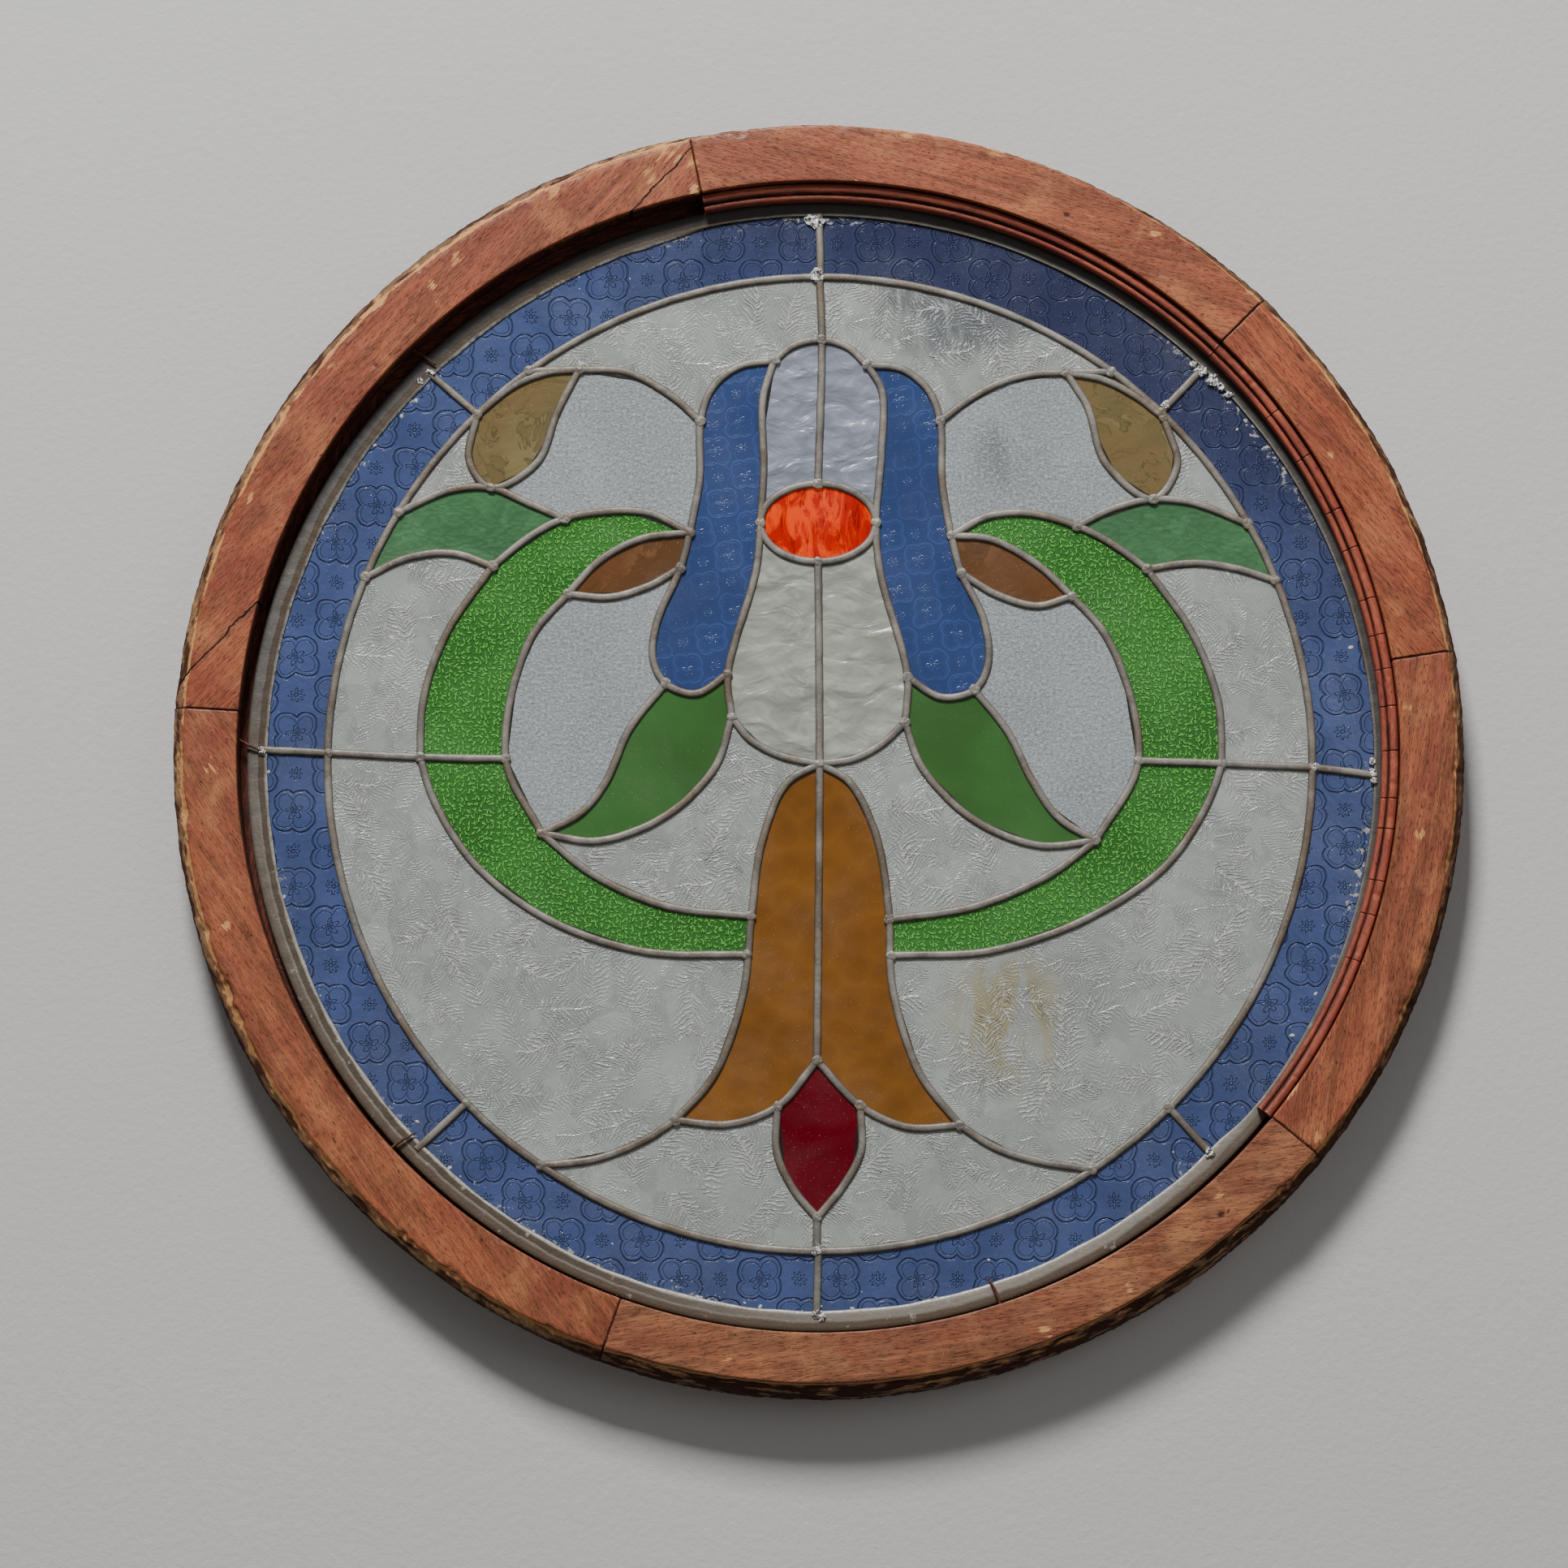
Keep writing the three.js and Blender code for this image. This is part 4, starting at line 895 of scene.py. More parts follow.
def ice_pattern(tree, colour):
    flat = window_place(tree)
    figure = place_group(tree, ice_flowers(), {"Vector": flat})
    clouds = noise_value(tree, flat, 14.0, 4.0, 0.6)
    tone = clouded(tree, clouds, colour, 0.86, 1.04)
    tone = tinted(tree, tone, rgba(colour, 0.62), figure.outputs["Facets"], 0.62)
    # Painted shade: the hollows of the frost relief are darkened.
    deep = rise(tree, figure.outputs["Height"], 0.1, -0.5)
    tone = tinted(tree, tone, rgba(colour, 0.5), deep, 0.45)
    tone = smudged(tree, flat, tone)
    # Painted highlights: the fern strokes are laid on at twice the glass's brightness.
    tone = tinted(tree, tone, rgba(colour, 2.0), figure.outputs["Strokes"], 0.95)
    return tone, figure.outputs["Height"], 0.6 * MM


def sandy_pattern(tree, colour):
    flat = window_place(tree)
    grains = noise_value(tree, flat, 460.0, 3.0, 0.85)
    clouds = noise_value(tree, flat, 11.0, 4.0, 0.6, 0.4)
    tone = mix_colours(tree, rise(tree, clouds, 0.3, 0.72), rgba(colour, 0.84), rgba(colour, 1.06))
    tone = smudged(tree, flat, tone)
    tone = tinted(tree, tone, rgba(colour, 1.7), rise(tree, grains, 0.5, 0.64), 0.8)
    tone = tinted(tree, tone, rgba(colour, 0.45), rise(tree, grains, 0.47, 0.34), 0.7)
    return tone, grains, 1.0 * MM


def hammered_pattern(cells, depth, contrast):
    """Soft lumps, wider than they are high, with painted shade at their edges and painted highlights on
    their crests.
    """
    def pattern(tree, colour):
        flat = stretched(tree, window_place(tree), (0.8, 1.25, 1), 0.2)
        figure = place_group(tree, dimples(), {"Vector": flat, "Cells": cells, "Unevenness": 12 * MM})
        clouds = noise_value(tree, window_place(tree), 20.0, 3.0)
        ripples = noise_value(tree, flat, 44.0, 3.0, 0.5, 1.0)
        tone = clouded(tree, clouds, colour, 0.88, 1.08)
        share = times(tree, figure.outputs["Edges"], contrast)
        tone = tinted(tree, tone, rgba(colour, 0.5), share)
        painted_crest_highlight = times(tree, rise(tree, ripples, 0.54, 0.62), 0.3)
        tone = tinted(tree, tone, rgba(colour, 1.6), painted_crest_highlight)
        height = calc(tree, "MULTIPLY_ADD", ripples, 1.6, figure.outputs["Height"])
        return tone, height, depth
    return pattern


def petal_pattern(pitch):
    """Faint arcs of the same pressed figure, seen through its back."""
    def pattern(tree, colour):
        flat = window_place(tree, math.radians(38), (0.003, 0.015, 0))
        figure = place_group(tree, pressed_quatrefoil(), {"Vector": flat, "Pitch": pitch, "Line": 0.05})
        clouds = noise_value(tree, flat, 14.0, 3.0)
        tone = clouded(tree, clouds, colour, 0.84, 1.06)
        arcs = times(tree, figure.outputs["Lines"], rise(tree, clouds, 0.3, 0.56))
        tone = tinted(tree, tone, rgba(colour, 1.7), arcs, 0.5)
        return tone, arcs, 0.12 * MM
    return pattern


def rice_pattern(tree, colour):
    flat = window_place(tree)
    first = place_group(tree, rice_grains(), {"Vector": flat, "Cells": 240.0, "Shift": 0.0})
    second = place_group(tree, rice_grains(), {"Vector": flat, "Cells": 300.0, "Shift": 0.31})
    grains = calc(tree, "MAXIMUM", first.outputs[0], times(tree, second.outputs[0], 0.7))
    clouds = noise_value(tree, flat, 16.0, 3.0)
    tone = clouded(tree, clouds, colour, 0.42, 0.64)
    # Painted highlights: the grains are laid on as bright glints.
    painted_grain_highlight = (colour[0] * 1.9 + 0.05, min(colour[1] * 1.7, 1.0), colour[2] * 1.5 + 0.02)
    tone = tinted(tree, tone, rgba(painted_grain_highlight), grains, 0.9)
    return tone, grains, 1.4 * MM


def scale_pattern(tree, colour):
    """Faint rows of overlapping scales."""
    flat = window_place(tree)
    figure = place_group(tree, dimples(), {"Vector": flat, "Cells": 62.0, "Unevenness": 3 * MM})
    clouds = noise_value(tree, flat, 15.0, 3.0)
    tone = clouded(tree, clouds, colour, 0.82, 1.08)
    tone = tinted(tree, tone, rgba(colour, 1.7), figure.outputs["Edges"], 0.16)
    return tone, figure.outputs["Height"], 0.8 * MM


def plain_pattern(tree, colour):
    flat = window_place(tree)
    waves = noise_value(tree, flat, 18.0, 2.0, 0.4, 0.6)
    tone = clouded(tree, waves, colour, 0.86, 1.1)
    return tone, waves, 1.0 * MM


def mottled_pattern(rust, vein):
    """Cloudy glass with map-like patches and thin dark veins around them."""
    def pattern(tree, colour):
        flat = window_place(tree)
        clouds = noise_value(tree, flat, 48.0, 3.0, 0.55, 1.3)
        thin = rise(tree, calc(tree, "ABSOLUTE", calc(tree, "SUBTRACT", clouds, 0.53)), 0.02, 0.0)
        soft = noise_value(tree, flat, 24.0, 3.0)
        warm = (colour[0] * (1 + 0.3 * rust), colour[1] * (1 - 0.25 * rust), colour[2] * (1 - 0.45 * rust))
        tone = mix_colours(tree, rise(tree, clouds, 0.52, 0.545), rgba(colour, 0.78), rgba(colour, 1.2))
        tone = tinted(tree, tone, rgba(warm, 0.92), rise(tree, soft, 0.35, 0.6))
        tone = tinted(tree, tone, rgba(colour, 0.3), thin, vein)
        return tone, clouds, 1.0 * MM
    return pattern


def streaky_pattern(tree, colour):
    """Opalescent flames that run from orange into deep red."""
    flat = window_place(tree)
    flames = noise_value(tree, stretched(tree, flat, (1.9, 0.75, 1), 0.45), 42.0, 5.0, 0.6, 1.6)
    threads = noise_value(tree, stretched(tree, flat, (3.2, 0.6, 1), 0.3), 90.0, 4.0, 0.6, 0.8)
    red = (colour[0] * 0.55, colour[1] * 0.10, colour[2])
    deep = (colour[0] * 0.26, colour[1] * 0.03, colour[2])
    tone = mix_colours(tree, rise(tree, flames, 0.60, 0.42), rgba(colour), rgba(red))
    tone = tinted(tree, tone, rgba(deep), rise(tree, threads, 0.46, 0.36), 0.8)
    return tone, flames, 0.4 * MM


# Meshes
def stacked(*grids):
    """One row for each point of the grids, with a value from each grid."""
    return np.column_stack([grid.ravel() for grid in grids])


def smooth_noise(points, seed):
    """Perlin noise from about -1 to 1 at each of the points."""
    shift = Vector((17.3 * seed, 5.1 * seed, 3.7 * seed))
    return np.array([noise.noise(Vector(point) + shift) for point in points])


def around(angles, cycles, seed):
    """Noise along a circle: about so many features for each radian of angle."""
    points = stacked(np.cos(angles), np.sin(angles), np.zeros_like(angles)) * cycles
    return smooth_noise(points, seed)


def turned_angles(start, end, step, extra=()):
    """Angles in radians from one end to the other, with more around the extra places."""
    count = max(int(round((end - start) / step)), 2)
    angles = list(np.linspace(start, end, count + 1))
    for place in extra:
        for offset in (-1.0, -0.35, 0.0, 0.35, 1.0):
            angles.append(place + offset * 0.9 * MM / PANEL_RADIUS)
    return np.array(sorted(angles))


def dense_profile(corners, step):
    """A closed outline with points added so that no side is longer than the step."""
    points = []
    for (r0, h0), (r1, h1) in zip(corners, corners[1:] + corners[:1]):
        parts = max(int(math.ceil(math.hypot(r1 - r0, h1 - h0) / step)), 1)
        points += [(r0 + (r1 - r0) * k / parts, h0 + (h1 - h0) * k / parts) for k in range(parts)]
    return np.array(points)


def arc_points(radius_at, height_at, reach_r, reach_h, start, end, steps):
    """Points of an elliptic arc in the section, in degrees."""
    angles = [math.radians(start + (end - start) * k / steps) for k in range(steps + 1)]
    return [(radius_at + reach_r * math.cos(a), height_at + reach_h * math.sin(a)) for a in angles]


def turned_piece(name, section, angles, relief, closed=False):
    """A section carried around the frame's middle. The relief moves the grid of radii,
    heights and angles, and gives back the values that the material reads."""
    radii = np.repeat(section[None, :, 0], len(angles), axis=0)
    heights = np.repeat(section[None, :, 1], len(angles), axis=0)
    turns = np.repeat(angles[:, None], len(section), axis=1)
    radii, heights, turns, values = relief(radii, heights, turns)
    verts = stacked(radii * np.cos(turns), radii * np.sin(turns), heights)
    rows, columns = radii.shape
    faces = []
    for i in range(rows if closed else rows - 1):
        here, there = i * columns, ((i + 1) % rows) * columns
        for j in range(columns):
            k = (j + 1) % columns
            faces.append((here + j, here + k, there + k, there + j))
    if not closed:
        faces.append(tuple(range(columns)))
        faces.append(tuple(range((rows - 1) * columns, rows * columns))[::-1])
    piece = mesh_object(name, verts, faces)
    for label, data in values.items():
        kind, key = ("FLOAT_VECTOR", "vector") if data.ndim == 2 else ("FLOAT", "value")
        layer = piece.data.attributes.new(label, kind, "POINT")
        layer.data.foreach_set(key, np.ascontiguousarray(data, dtype=np.float32).ravel())
    return piece


def in_scene(name, data):
    obj = bpy.data.objects.new(name, data)
    bpy.context.scene.collection.objects.link(obj)
    return obj


def mesh_object(name, verts, faces):
    """A mesh in the plane of the drawing, stood up, with its faces outwards."""
    mesh = bpy.data.meshes.new(name)
    mesh.from_pydata([tuple(v) for v in verts], [], faces)
    stand_up(mesh)
    return in_scene(name, mesh)


def stand_up(mesh):
    mesh.transform(STAND_UP)
    solid = bmesh.new()
    solid.from_mesh(mesh)
    if solid.calc_volume(signed=True) < 0:
        bmesh.ops.reverse_faces(solid, faces=solid.faces)
    for face in solid.faces:
        face.smooth = True
    solid.to_mesh(mesh)
    solid.free()
    mesh.validate()


def finish_piece(piece, material, slot, *nodes):
    piece.data.materials.clear()
    piece.data.materials.append(material)
    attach(piece, "root")
    if nodes:
        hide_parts(*nodes)
    return piece


def grain_coordinates(radii, heights, turns, degrees, shift):
    """Coordinates that run along the grain, across it and into the depth."""
    turn = math.radians(degrees)
    x = radii * np.cos(turns)
    y = radii * np.sin(turns)
    along = x * math.cos(turn) + y * math.sin(turn)
    across = y * math.cos(turn) - x * math.sin(turn)
    return stacked(along + shift, across + shift / 3, heights)


def near_places(x, y, places):
    """The strongest of the rubbed places at each point."""
    strongest = np.zeros_like(x)
    for place_x, place_y, reach in places:
        distance = np.hypot(x - place_x * MM, y - place_y * MM)
        strongest = np.maximum(strongest, np.exp(-((distance / (reach * MM)) ** 2)))
    return strongest


def smooth_fall(value, reach):
    return np.clip(1 - value / reach, 0, 1) ** 2


def front_section():
    """The front ring's section, from the rebate over the face to the torn outside."""
    low, top = FRONT_RING_BACK, FRONT_FACE
    arris = 1.0 * MM
    corners = [(FACE_INNER, low), (FACE_INNER, top - arris)]
    corners += arc_points(FACE_INNER + arris, top - arris, arris, arris, 180, 90, 4)[1:]
    corners += [(FACE_OUTER - 3 * MM, top)]
    corners += arc_points(FACE_OUTER - 3 * MM, top - 3 * MM, 3 * MM, 3 * MM, 90, 20, 5)[1:]
    corners += [(FRAME_RADIUS - 0.6 * MM, top - 7 * MM), (FRAME_RADIUS, low + 1 * MM)]
    corners += [(FRAME_RADIUS - 1 * MM, low)]
    return dense_profile(corners, 1.5 * MM)


def front_relief(segment, span, sizes, seed):
    start, end = span

    def relief(radii, heights, turns):
        angles = turns[:, 0]
        torn = np.abs(around(angles, 28, seed)) * 0.9 + np.abs(around(angles, 90, seed + 1)) * 0.5
        bites = np.clip(around(angles, 22, seed + 2) - 0.22, 0, 1) * 2.2
        bites = bites * np.clip(around(angles, 70, seed + 3) + 0.6, 0, 1)
        chip = (0.05 + 0.3 * torn + bites) * sizes.chip_depth
        chip = np.clip(chip, 0, sizes.chip_depth)[:, None]
        degrees = (np.degrees(angles) + 180) % 360 - 180
        places, edges, sides = np.array(FACE_EDGE).T
        edge = np.interp(degrees, places, edges)[:, None] * MM
        inset = np.interp(degrees, places, sides)[:, None] * MM
        low_side = np.clip((-edge / MM - 4.8) / 1.5, 0, 1)
        original = radii.copy()
        reach = np.clip(1 - (FACE_OUTER - radii) / (8 * MM), 0, 1)
        outer = reach * np.clip(1 - (FRONT_FACE - heights) / (9 * MM), 0, 1)
        splinters = smooth_noise(stacked(turns * 30, heights * 420, radii * 420), seed + 6)
        splinters = splinters.reshape(radii.shape)
        behind = FRONT_FACE - heights
        ledge = np.clip(1 - behind / (7 * MM + low_side * 11 * MM), 0, 1)
        radii = radii + edge * reach * ledge + inset * reach * (1 - ledge) - 0.6 * chip * outer
        heights = heights - chip * 0.7 * outer - low_side * outer * 1.5 * MM
        x, y = radii * np.cos(turns), radii * np.sin(turns)
        spots = stacked(x, y, heights)
        coarse = smooth_noise(spots * 55, seed + 4).reshape(radii.shape)
        fine = smooth_noise(spots * 260, seed + 5).reshape(radii.shape)
        side = np.clip((original - FACE_OUTER + 0.5 * MM) / (1.5 * MM), 0, 1)
        lowered = 0.45 + 0.4 * coarse + 0.35 * fine + (0.3 + 0.8 * low_side) * np.abs(splinters)
        radii = radii - side * sizes.rim_roughness * lowered
        face = np.clip((heights - FRONT_FACE + 4 * MM) / (2 * MM), 0, 1)
        uneven = sizes.wood_relief * (0.5 + 0.4 * coarse + 0.15 * fine)
        heights = heights - face * uneven - face * segment["sunk"]
        from_end = np.minimum(turns - start, end - turns) * radii
        ragged = 1.3 * MM * (1 + 0.5 * fine)
        heights = heights - face * 1.0 * MM * smooth_fall(from_end, ragged)
        radii = radii + (original < FACE_INNER + 2 * MM) * 0.5 * MM * smooth_fall(from_end, 2.5 * ragged)
        arris = np.exp(-((original - FACE_INNER) / (2.0 * MM)) ** 2) * face
        outside = np.exp(-((FACE_OUTER - (0.3 + 0.8 * low_side) * MM - original) / (1.2 * MM)) ** 2)
        places, shares = np.array(BARE_SIDE).T
        upper = np.interp(degrees, places, shares)[:, None]
        wear = 0.22 * arris + (0.74 + 0.7 * coarse + 0.2 * low_side) * outside
        wear = wear + 0.62 * near_places(x, y, RUBS)
        wear = wear + np.clip(chip / sizes.chip_depth, 0, 1) * outer * 0.35
        shallow = np.clip(1 - (behind - 5 * MM) / (4 * MM + low_side * 6 * MM), 0, 1)
        wear = wear + side * shallow * upper * (0.2 + 0.5 * fine + 0.6 * splinters)
        grime = side * (0.95 - 0.85 * shallow * upper + 1.6 * np.clip(-splinters, 0, 1))
        grime = grime - side * low_side * np.clip(2.8 * splinters, 0, 1)
        wear = wear + side * low_side * np.clip(1.8 * splinters - 0.2, 0, 0.5)
        # Painted shade: a dark band on the face a little inside its outer edge.
        inner_shade = np.exp(-((FACE_OUTER - 8 * MM - original) / (5 * MM)) ** 2) * face
        grime = np.maximum(grime, inner_shade * (0.25 + 0.4 * coarse))
        nails = near_places(x, y, NAIL_HEADS)
        heights = heights - face * 0.5 * MM * nails
        grime = np.maximum(grime, 0.95 * nails * face)
        grime = np.maximum(grime, 0.95 * smooth_fall(from_end, 1.6 * ragged))
        # Painted shade: the wall of the rebate below the face is darkened.
        lower = np.clip((FRONT_FACE - 2 * MM - heights) / (5 * MM), 0, 1)
        grime = np.maximum(grime, 0.75 * (original < FACE_INNER + 0.5 * MM) * lower)
        values = {
            "wear": wear.ravel(), "grime": grime.ravel(),
            "faded": np.maximum(segment["faded"] * (1 + 0.5 * coarse), side).ravel(),
            "grain": grain_coordinates(radii, heights, turns, segment["grain"], seed * 0.37),
        }
        radii = np.minimum(radii, FRAME_RADIUS)
        return radii, heights, turns, values
    return relief


def build_front_ring(sizes, colours):
    tones = (colours.wood, colours.wood_light, colours.wood_dark, colours.raw_wood)
    plain = wood_material("varnished_wood", *tones)
    cracked = wood_material("varnished_wood_cracked", *tones, (CRACK_FROM, CRACK_TO))
    for index, (node, segment) in enumerate(FRONT_SEGMENTS.items()):
        half_gap = JOINT_GAP / 2 / FACE_INNER
        start, end = (math.radians(angle) for angle in segment["span"])
        span = (start + half_gap, end - half_gap)
        angles = turned_angles(*span, sizes.ring_step / FACE_OUTER)
        ends = [span[0] + k * 0.5 * MM / FACE_OUTER for k in (1, 2, 3)]
        ends += [span[1] - k * 0.5 * MM / FACE_OUTER for k in (1, 2, 3)]
        angles = np.array(sorted([*angles, *ends]))
        relief = front_relief(segment, span, sizes, sizes.seed + 10 * index)
        piece = turned_piece(node.replace("frame", "wood"), front_section(), angles, relief)
        finish_piece(piece, cracked if node == "frame_front_left_upper" else plain, "varnished_wood", node)


def build_back_ring(sizes, colours):
    low, top = 0.0, BACK_RING_TOP
    corners = [
        (LIP_INNER, low + 0.5 * MM), (LIP_INNER, top - 1 * MM), (LIP_INNER + 1 * MM, top),
        (FRAME_RADIUS - 1.5 * MM, top), (FRAME_RADIUS, top - 1.5 * MM), (FRAME_RADIUS, low + 1.5 * MM),
        (FRAME_RADIUS - 1.5 * MM, low), (LIP_INNER + 0.5 * MM, low),
    ]
    section = dense_profile(corners, 3.0 * MM)
    joints = sorted(math.radians(angle % 360) for angle in BACK_RING_JOINTS)
    angles = turned_angles(0, 2 * math.pi, 2 * sizes.ring_step / FRAME_RADIUS, joints)[:-1]
    seed = sizes.seed + 90

    def relief(radii, heights, turns):
        angles = turns[:, 0]
        torn = np.abs(around(angles, 30, seed)) * 1.3 + np.abs(around(angles, 110, seed + 1)) * 0.6
        spots = stacked(radii * np.cos(turns), radii * np.sin(turns), heights)
        fine = smooth_noise(spots * 210, seed + 2).reshape(radii.shape)
        side = np.clip((radii - FRAME_RADIUS + 3 * MM) / (2 * MM), 0, 1)
        lowered = side * sizes.rim_roughness * (0.2 + 0.7 * torn[:, None] + 0.4 * np.abs(fine))
        groove = np.zeros_like(angles)
        for joint in joints:
            groove = np.maximum(groove, smooth_fall(np.abs(angles - joint) * FRAME_RADIUS, 1.0 * MM))
        from_edge = np.clip((radii - LIP_INNER) / (2 * MM), 0, 1)
        lowered = lowered + side * groove[:, None] * 2.0 * MM
        back = heights < low + 1 * MM
        raised = back * groove[:, None] * 1.2 * MM * from_edge
        wear = np.clip(0.15 + 0.4 * fine, 0, 1)
        front = heights > top - 1.2 * MM
        grime = np.maximum(0.45 * side, 0.6 * front) + groove[:, None] * 0.6
        boards = np.searchsorted(np.array(joints), angles) % len(joints)
        middles = [(a + b) / 2 for a, b in zip(joints, [*joints[1:], joints[0] + 2 * math.pi])]
        grains = np.degrees(np.array([middles[board - 1] for board in boards])) + 90
        along = [
            grain_coordinates(radii[i], heights[i], turns[i], grains[i], 1.7 * boards[i])
            for i in range(len(angles))
        ]
        values = {"wear": wear.ravel(), "grime": grime.ravel(), "grain": np.vstack(along)}
        return radii - lowered, heights + raised, turns, values

    old = tuple(0.42 * channel for channel in colours.wood)
    material = wood_material("dark_wood", old, colours.wood, colours.wood_dark, old)
    piece = turned_piece("wood_back_ring", section, angles, relief, closed=True)
    finish_piece(piece, material, "dark_wood", "frame_back_ring")


def bead_section():
    """A fat reed beside the wood, a groove and a small reed beside the glass."""
    outer = FACE_INNER - JOINT_GAP
    inner = outer - BEAD_WIDTH
    groove = inner + SMALL_REED_WIDTH
    fat, small = (outer - groove) / 2, SMALL_REED_WIDTH / 2
    fat_base, small_base = BEAD_FRONT - fat, BEAD_FRONT - SMALL_REED_DROP - small
    corners = [(inner, BEAD_BACK), (outer, BEAD_BACK)]
    corners += arc_points(groove + fat, fat_base, fat, fat, 0, 180, 12)
    corners += [(groove, small_base - 0.6 * MM)]
    corners += arc_points(inner + small, small_base, small, small, 0, 180, 9)
    return dense_profile(corners, 2.0 * MM)


def build_beads(sizes, colours):
    material = bead_material(colours)
    kerfs = [math.radians(angle) for angle in KERF_ANGLES]
    for index, (node, (first, last)) in enumerate(BEADS.items()):
        half_gap = JOINT_GAP / 2 / FACE_INNER
        start, end = math.radians(first) + half_gap, math.radians(last) - half_gap
        own = [kerf for kerf in kerfs if start < kerf < end]
        angles = turned_angles(start, end, sizes.ring_step / PANEL_RADIUS, own)
        seed = sizes.seed + 50 + index

        def relief(radii, heights, turns):
            along = turns[:, 0]
            cuts = np.zeros_like(along)
            for kerf in own:
                cuts = np.maximum(cuts, smooth_fall(np.abs(along - kerf) * PANEL_RADIUS, 0.45 * MM))
            top = np.clip((heights - BEAD_BACK - 3 * MM) / (3 * MM), 0, 1)
            dents = np.clip(around(along, 60, seed) - 0.25, 0, 1)[:, None] * 1.2 * MM
            wave = around(along, 9, seed + 1)[:, None] * 0.3 * MM
            worn = np.clip((heights - BEAD_FRONT + 4 * MM) / (4 * MM), 0, 1)
            lowered = top * (cuts[:, None] * sizes.kerf_depth) + worn * (dents + np.abs(wave))
            flat = turns * PANEL_RADIUS
            grain = stacked(flat, radii + index, heights)
            # Painted shade: darker in the groove between the reeds, along the edge beside the wood and on
            # the low back part; the kerfs are dark cracks.
            groove = np.exp(-((radii - FACE_INNER + BEAD_WIDTH - SMALL_REED_WIDTH) / (0.9 * MM)) ** 2)
            edge = np.clip((radii - FACE_INNER + 1.5 * MM) / (1 * MM), 0, 1)
            grime = np.maximum(cuts[:, None] * top, np.maximum(0.8 * groove, 0.8 * edge))
            grime = np.maximum(grime, 0.5 * (heights < BEAD_BACK + 3 * MM))
            values = {
                "wear": (0.32 * worn + dents / (1.2 * MM)).ravel(), "grime": grime.ravel(), "grain": grain,
            }
            return radii, heights - lowered, turns, values

        piece = turned_piece(node.replace("bead", "reeded_bead"), bead_section(), angles, relief)
        finish_piece(piece, material, "bead_wood", node)


def swept_rod(name, path, radii, sides=12):
    """A round rod through the points of a path, closed at both ends."""
    verts, faces = [], []
    for i, point in enumerate(path):
        ahead = path[min(i + 1, len(path) - 1)] - path[max(i - 1, 0)]
        forward = ahead.normalized()
        across = forward.cross(Vector((0, 0, 1))).normalized()
        up = across.cross(forward)
        for k in range(sides):
            turn = 2 * math.pi * k / sides
            verts.append(point + (across * math.cos(turn) + up * math.sin(turn)) * radii[i])
    for i in range(len(path) - 1):
        for k in range(sides):
            m = (k + 1) % sides
            faces.append((i * sides + k, i * sides + m, (i + 1) * sides + m, (i + 1) * sides + k))
    faces.append(tuple(range(sides))[::-1])
    faces.append(tuple(range((len(path) - 1) * sides, len(path) * sides)))
    return mesh_object(name, verts, faces)


def build_brads(sizes, colours):
    material = rust_material(colours)
    for index, (node, place) in enumerate(BRADS.items()):
        angle, lean = math.radians(place["angle"]), math.radians(place["angle"] + place["lean"])
        foot = direction(angle) * FACE_INNER
        inward = -direction(lean)
        across = Vector((-inward.y, inward.x, 0))
        radius = sizes.brad_thickness / 2
        foot.z = PANEL_FRONT + JOINT_GAP + radius
        path, radii = [], []
        steps = 14
        for k in range(steps + 1):
            share = k / steps
            bow = math.sin(share * math.pi)
            bend = across * (1.2 * MM * bow * (-1) ** index) + Vector((0, 0, 1.6 * MM * bow))
            path.append(foot + inward * ((27 * share - 8) * MM) + bend)
            radii.append(radius * (1 - 0.45 * max(share - 0.7, 0) / 0.3))
        piece = swept_rod(node + "_nail", path, radii)
        finish_piece(piece, material, "iron", node)


# Leadwork
def direction(angle):
    return Vector((math.cos(angle), math.sin(angle), 0))


def drawn(place):
    """A place of the drawing in metres from the middle of the frame."""
    x, y = AT[place] if isinstance(place, str) else place
    scale = BORDER_RADIUS / DRAWN_RADIUS
    return Vector((x * scale, y * scale + PANEL_MIDDLE, 0))


def smooth_path(places, steps=12):
    """A centripetal curve through the places of a came."""
    points = [drawn(place) for place in places]
    if len(points) == 2:
        return points
    ends = [2 * points[0] - points[1], *points, 2 * points[-1] - points[-2]]
    path = []
    for p0, p1, p2, p3 in zip(ends, ends[1:], ends[2:], ends[3:]):
        t1 = (p1 - p0).length ** 0.5
        t2 = t1 + (p2 - p1).length ** 0.5
        t3 = t2 + (p3 - p2).length ** 0.5
        for k in range(steps):
            t = t1 + (t2 - t1) * k / steps
            a1 = p0.lerp(p1, t / t1)
            a2 = p1.lerp(p2, (t - t1) / (t2 - t1))
            a3 = p2.lerp(p3, (t - t2) / (t3 - t2))
            b1 = a1.lerp(a2, t / t2)
            b2 = a2.lerp(a3, (t - t1) / (t3 - t1))
            path.append(b1.lerp(b2, (t - t1) / (t2 - t1)))
    return [*path, points[-1]]


def oval_path(middle, reach_x, reach_y, steps):
    turns = [2 * math.pi * k / steps for k in range(steps)]
    return [middle + Vector((reach_x * math.cos(t), reach_y * math.sin(t), 0)) for t in turns]


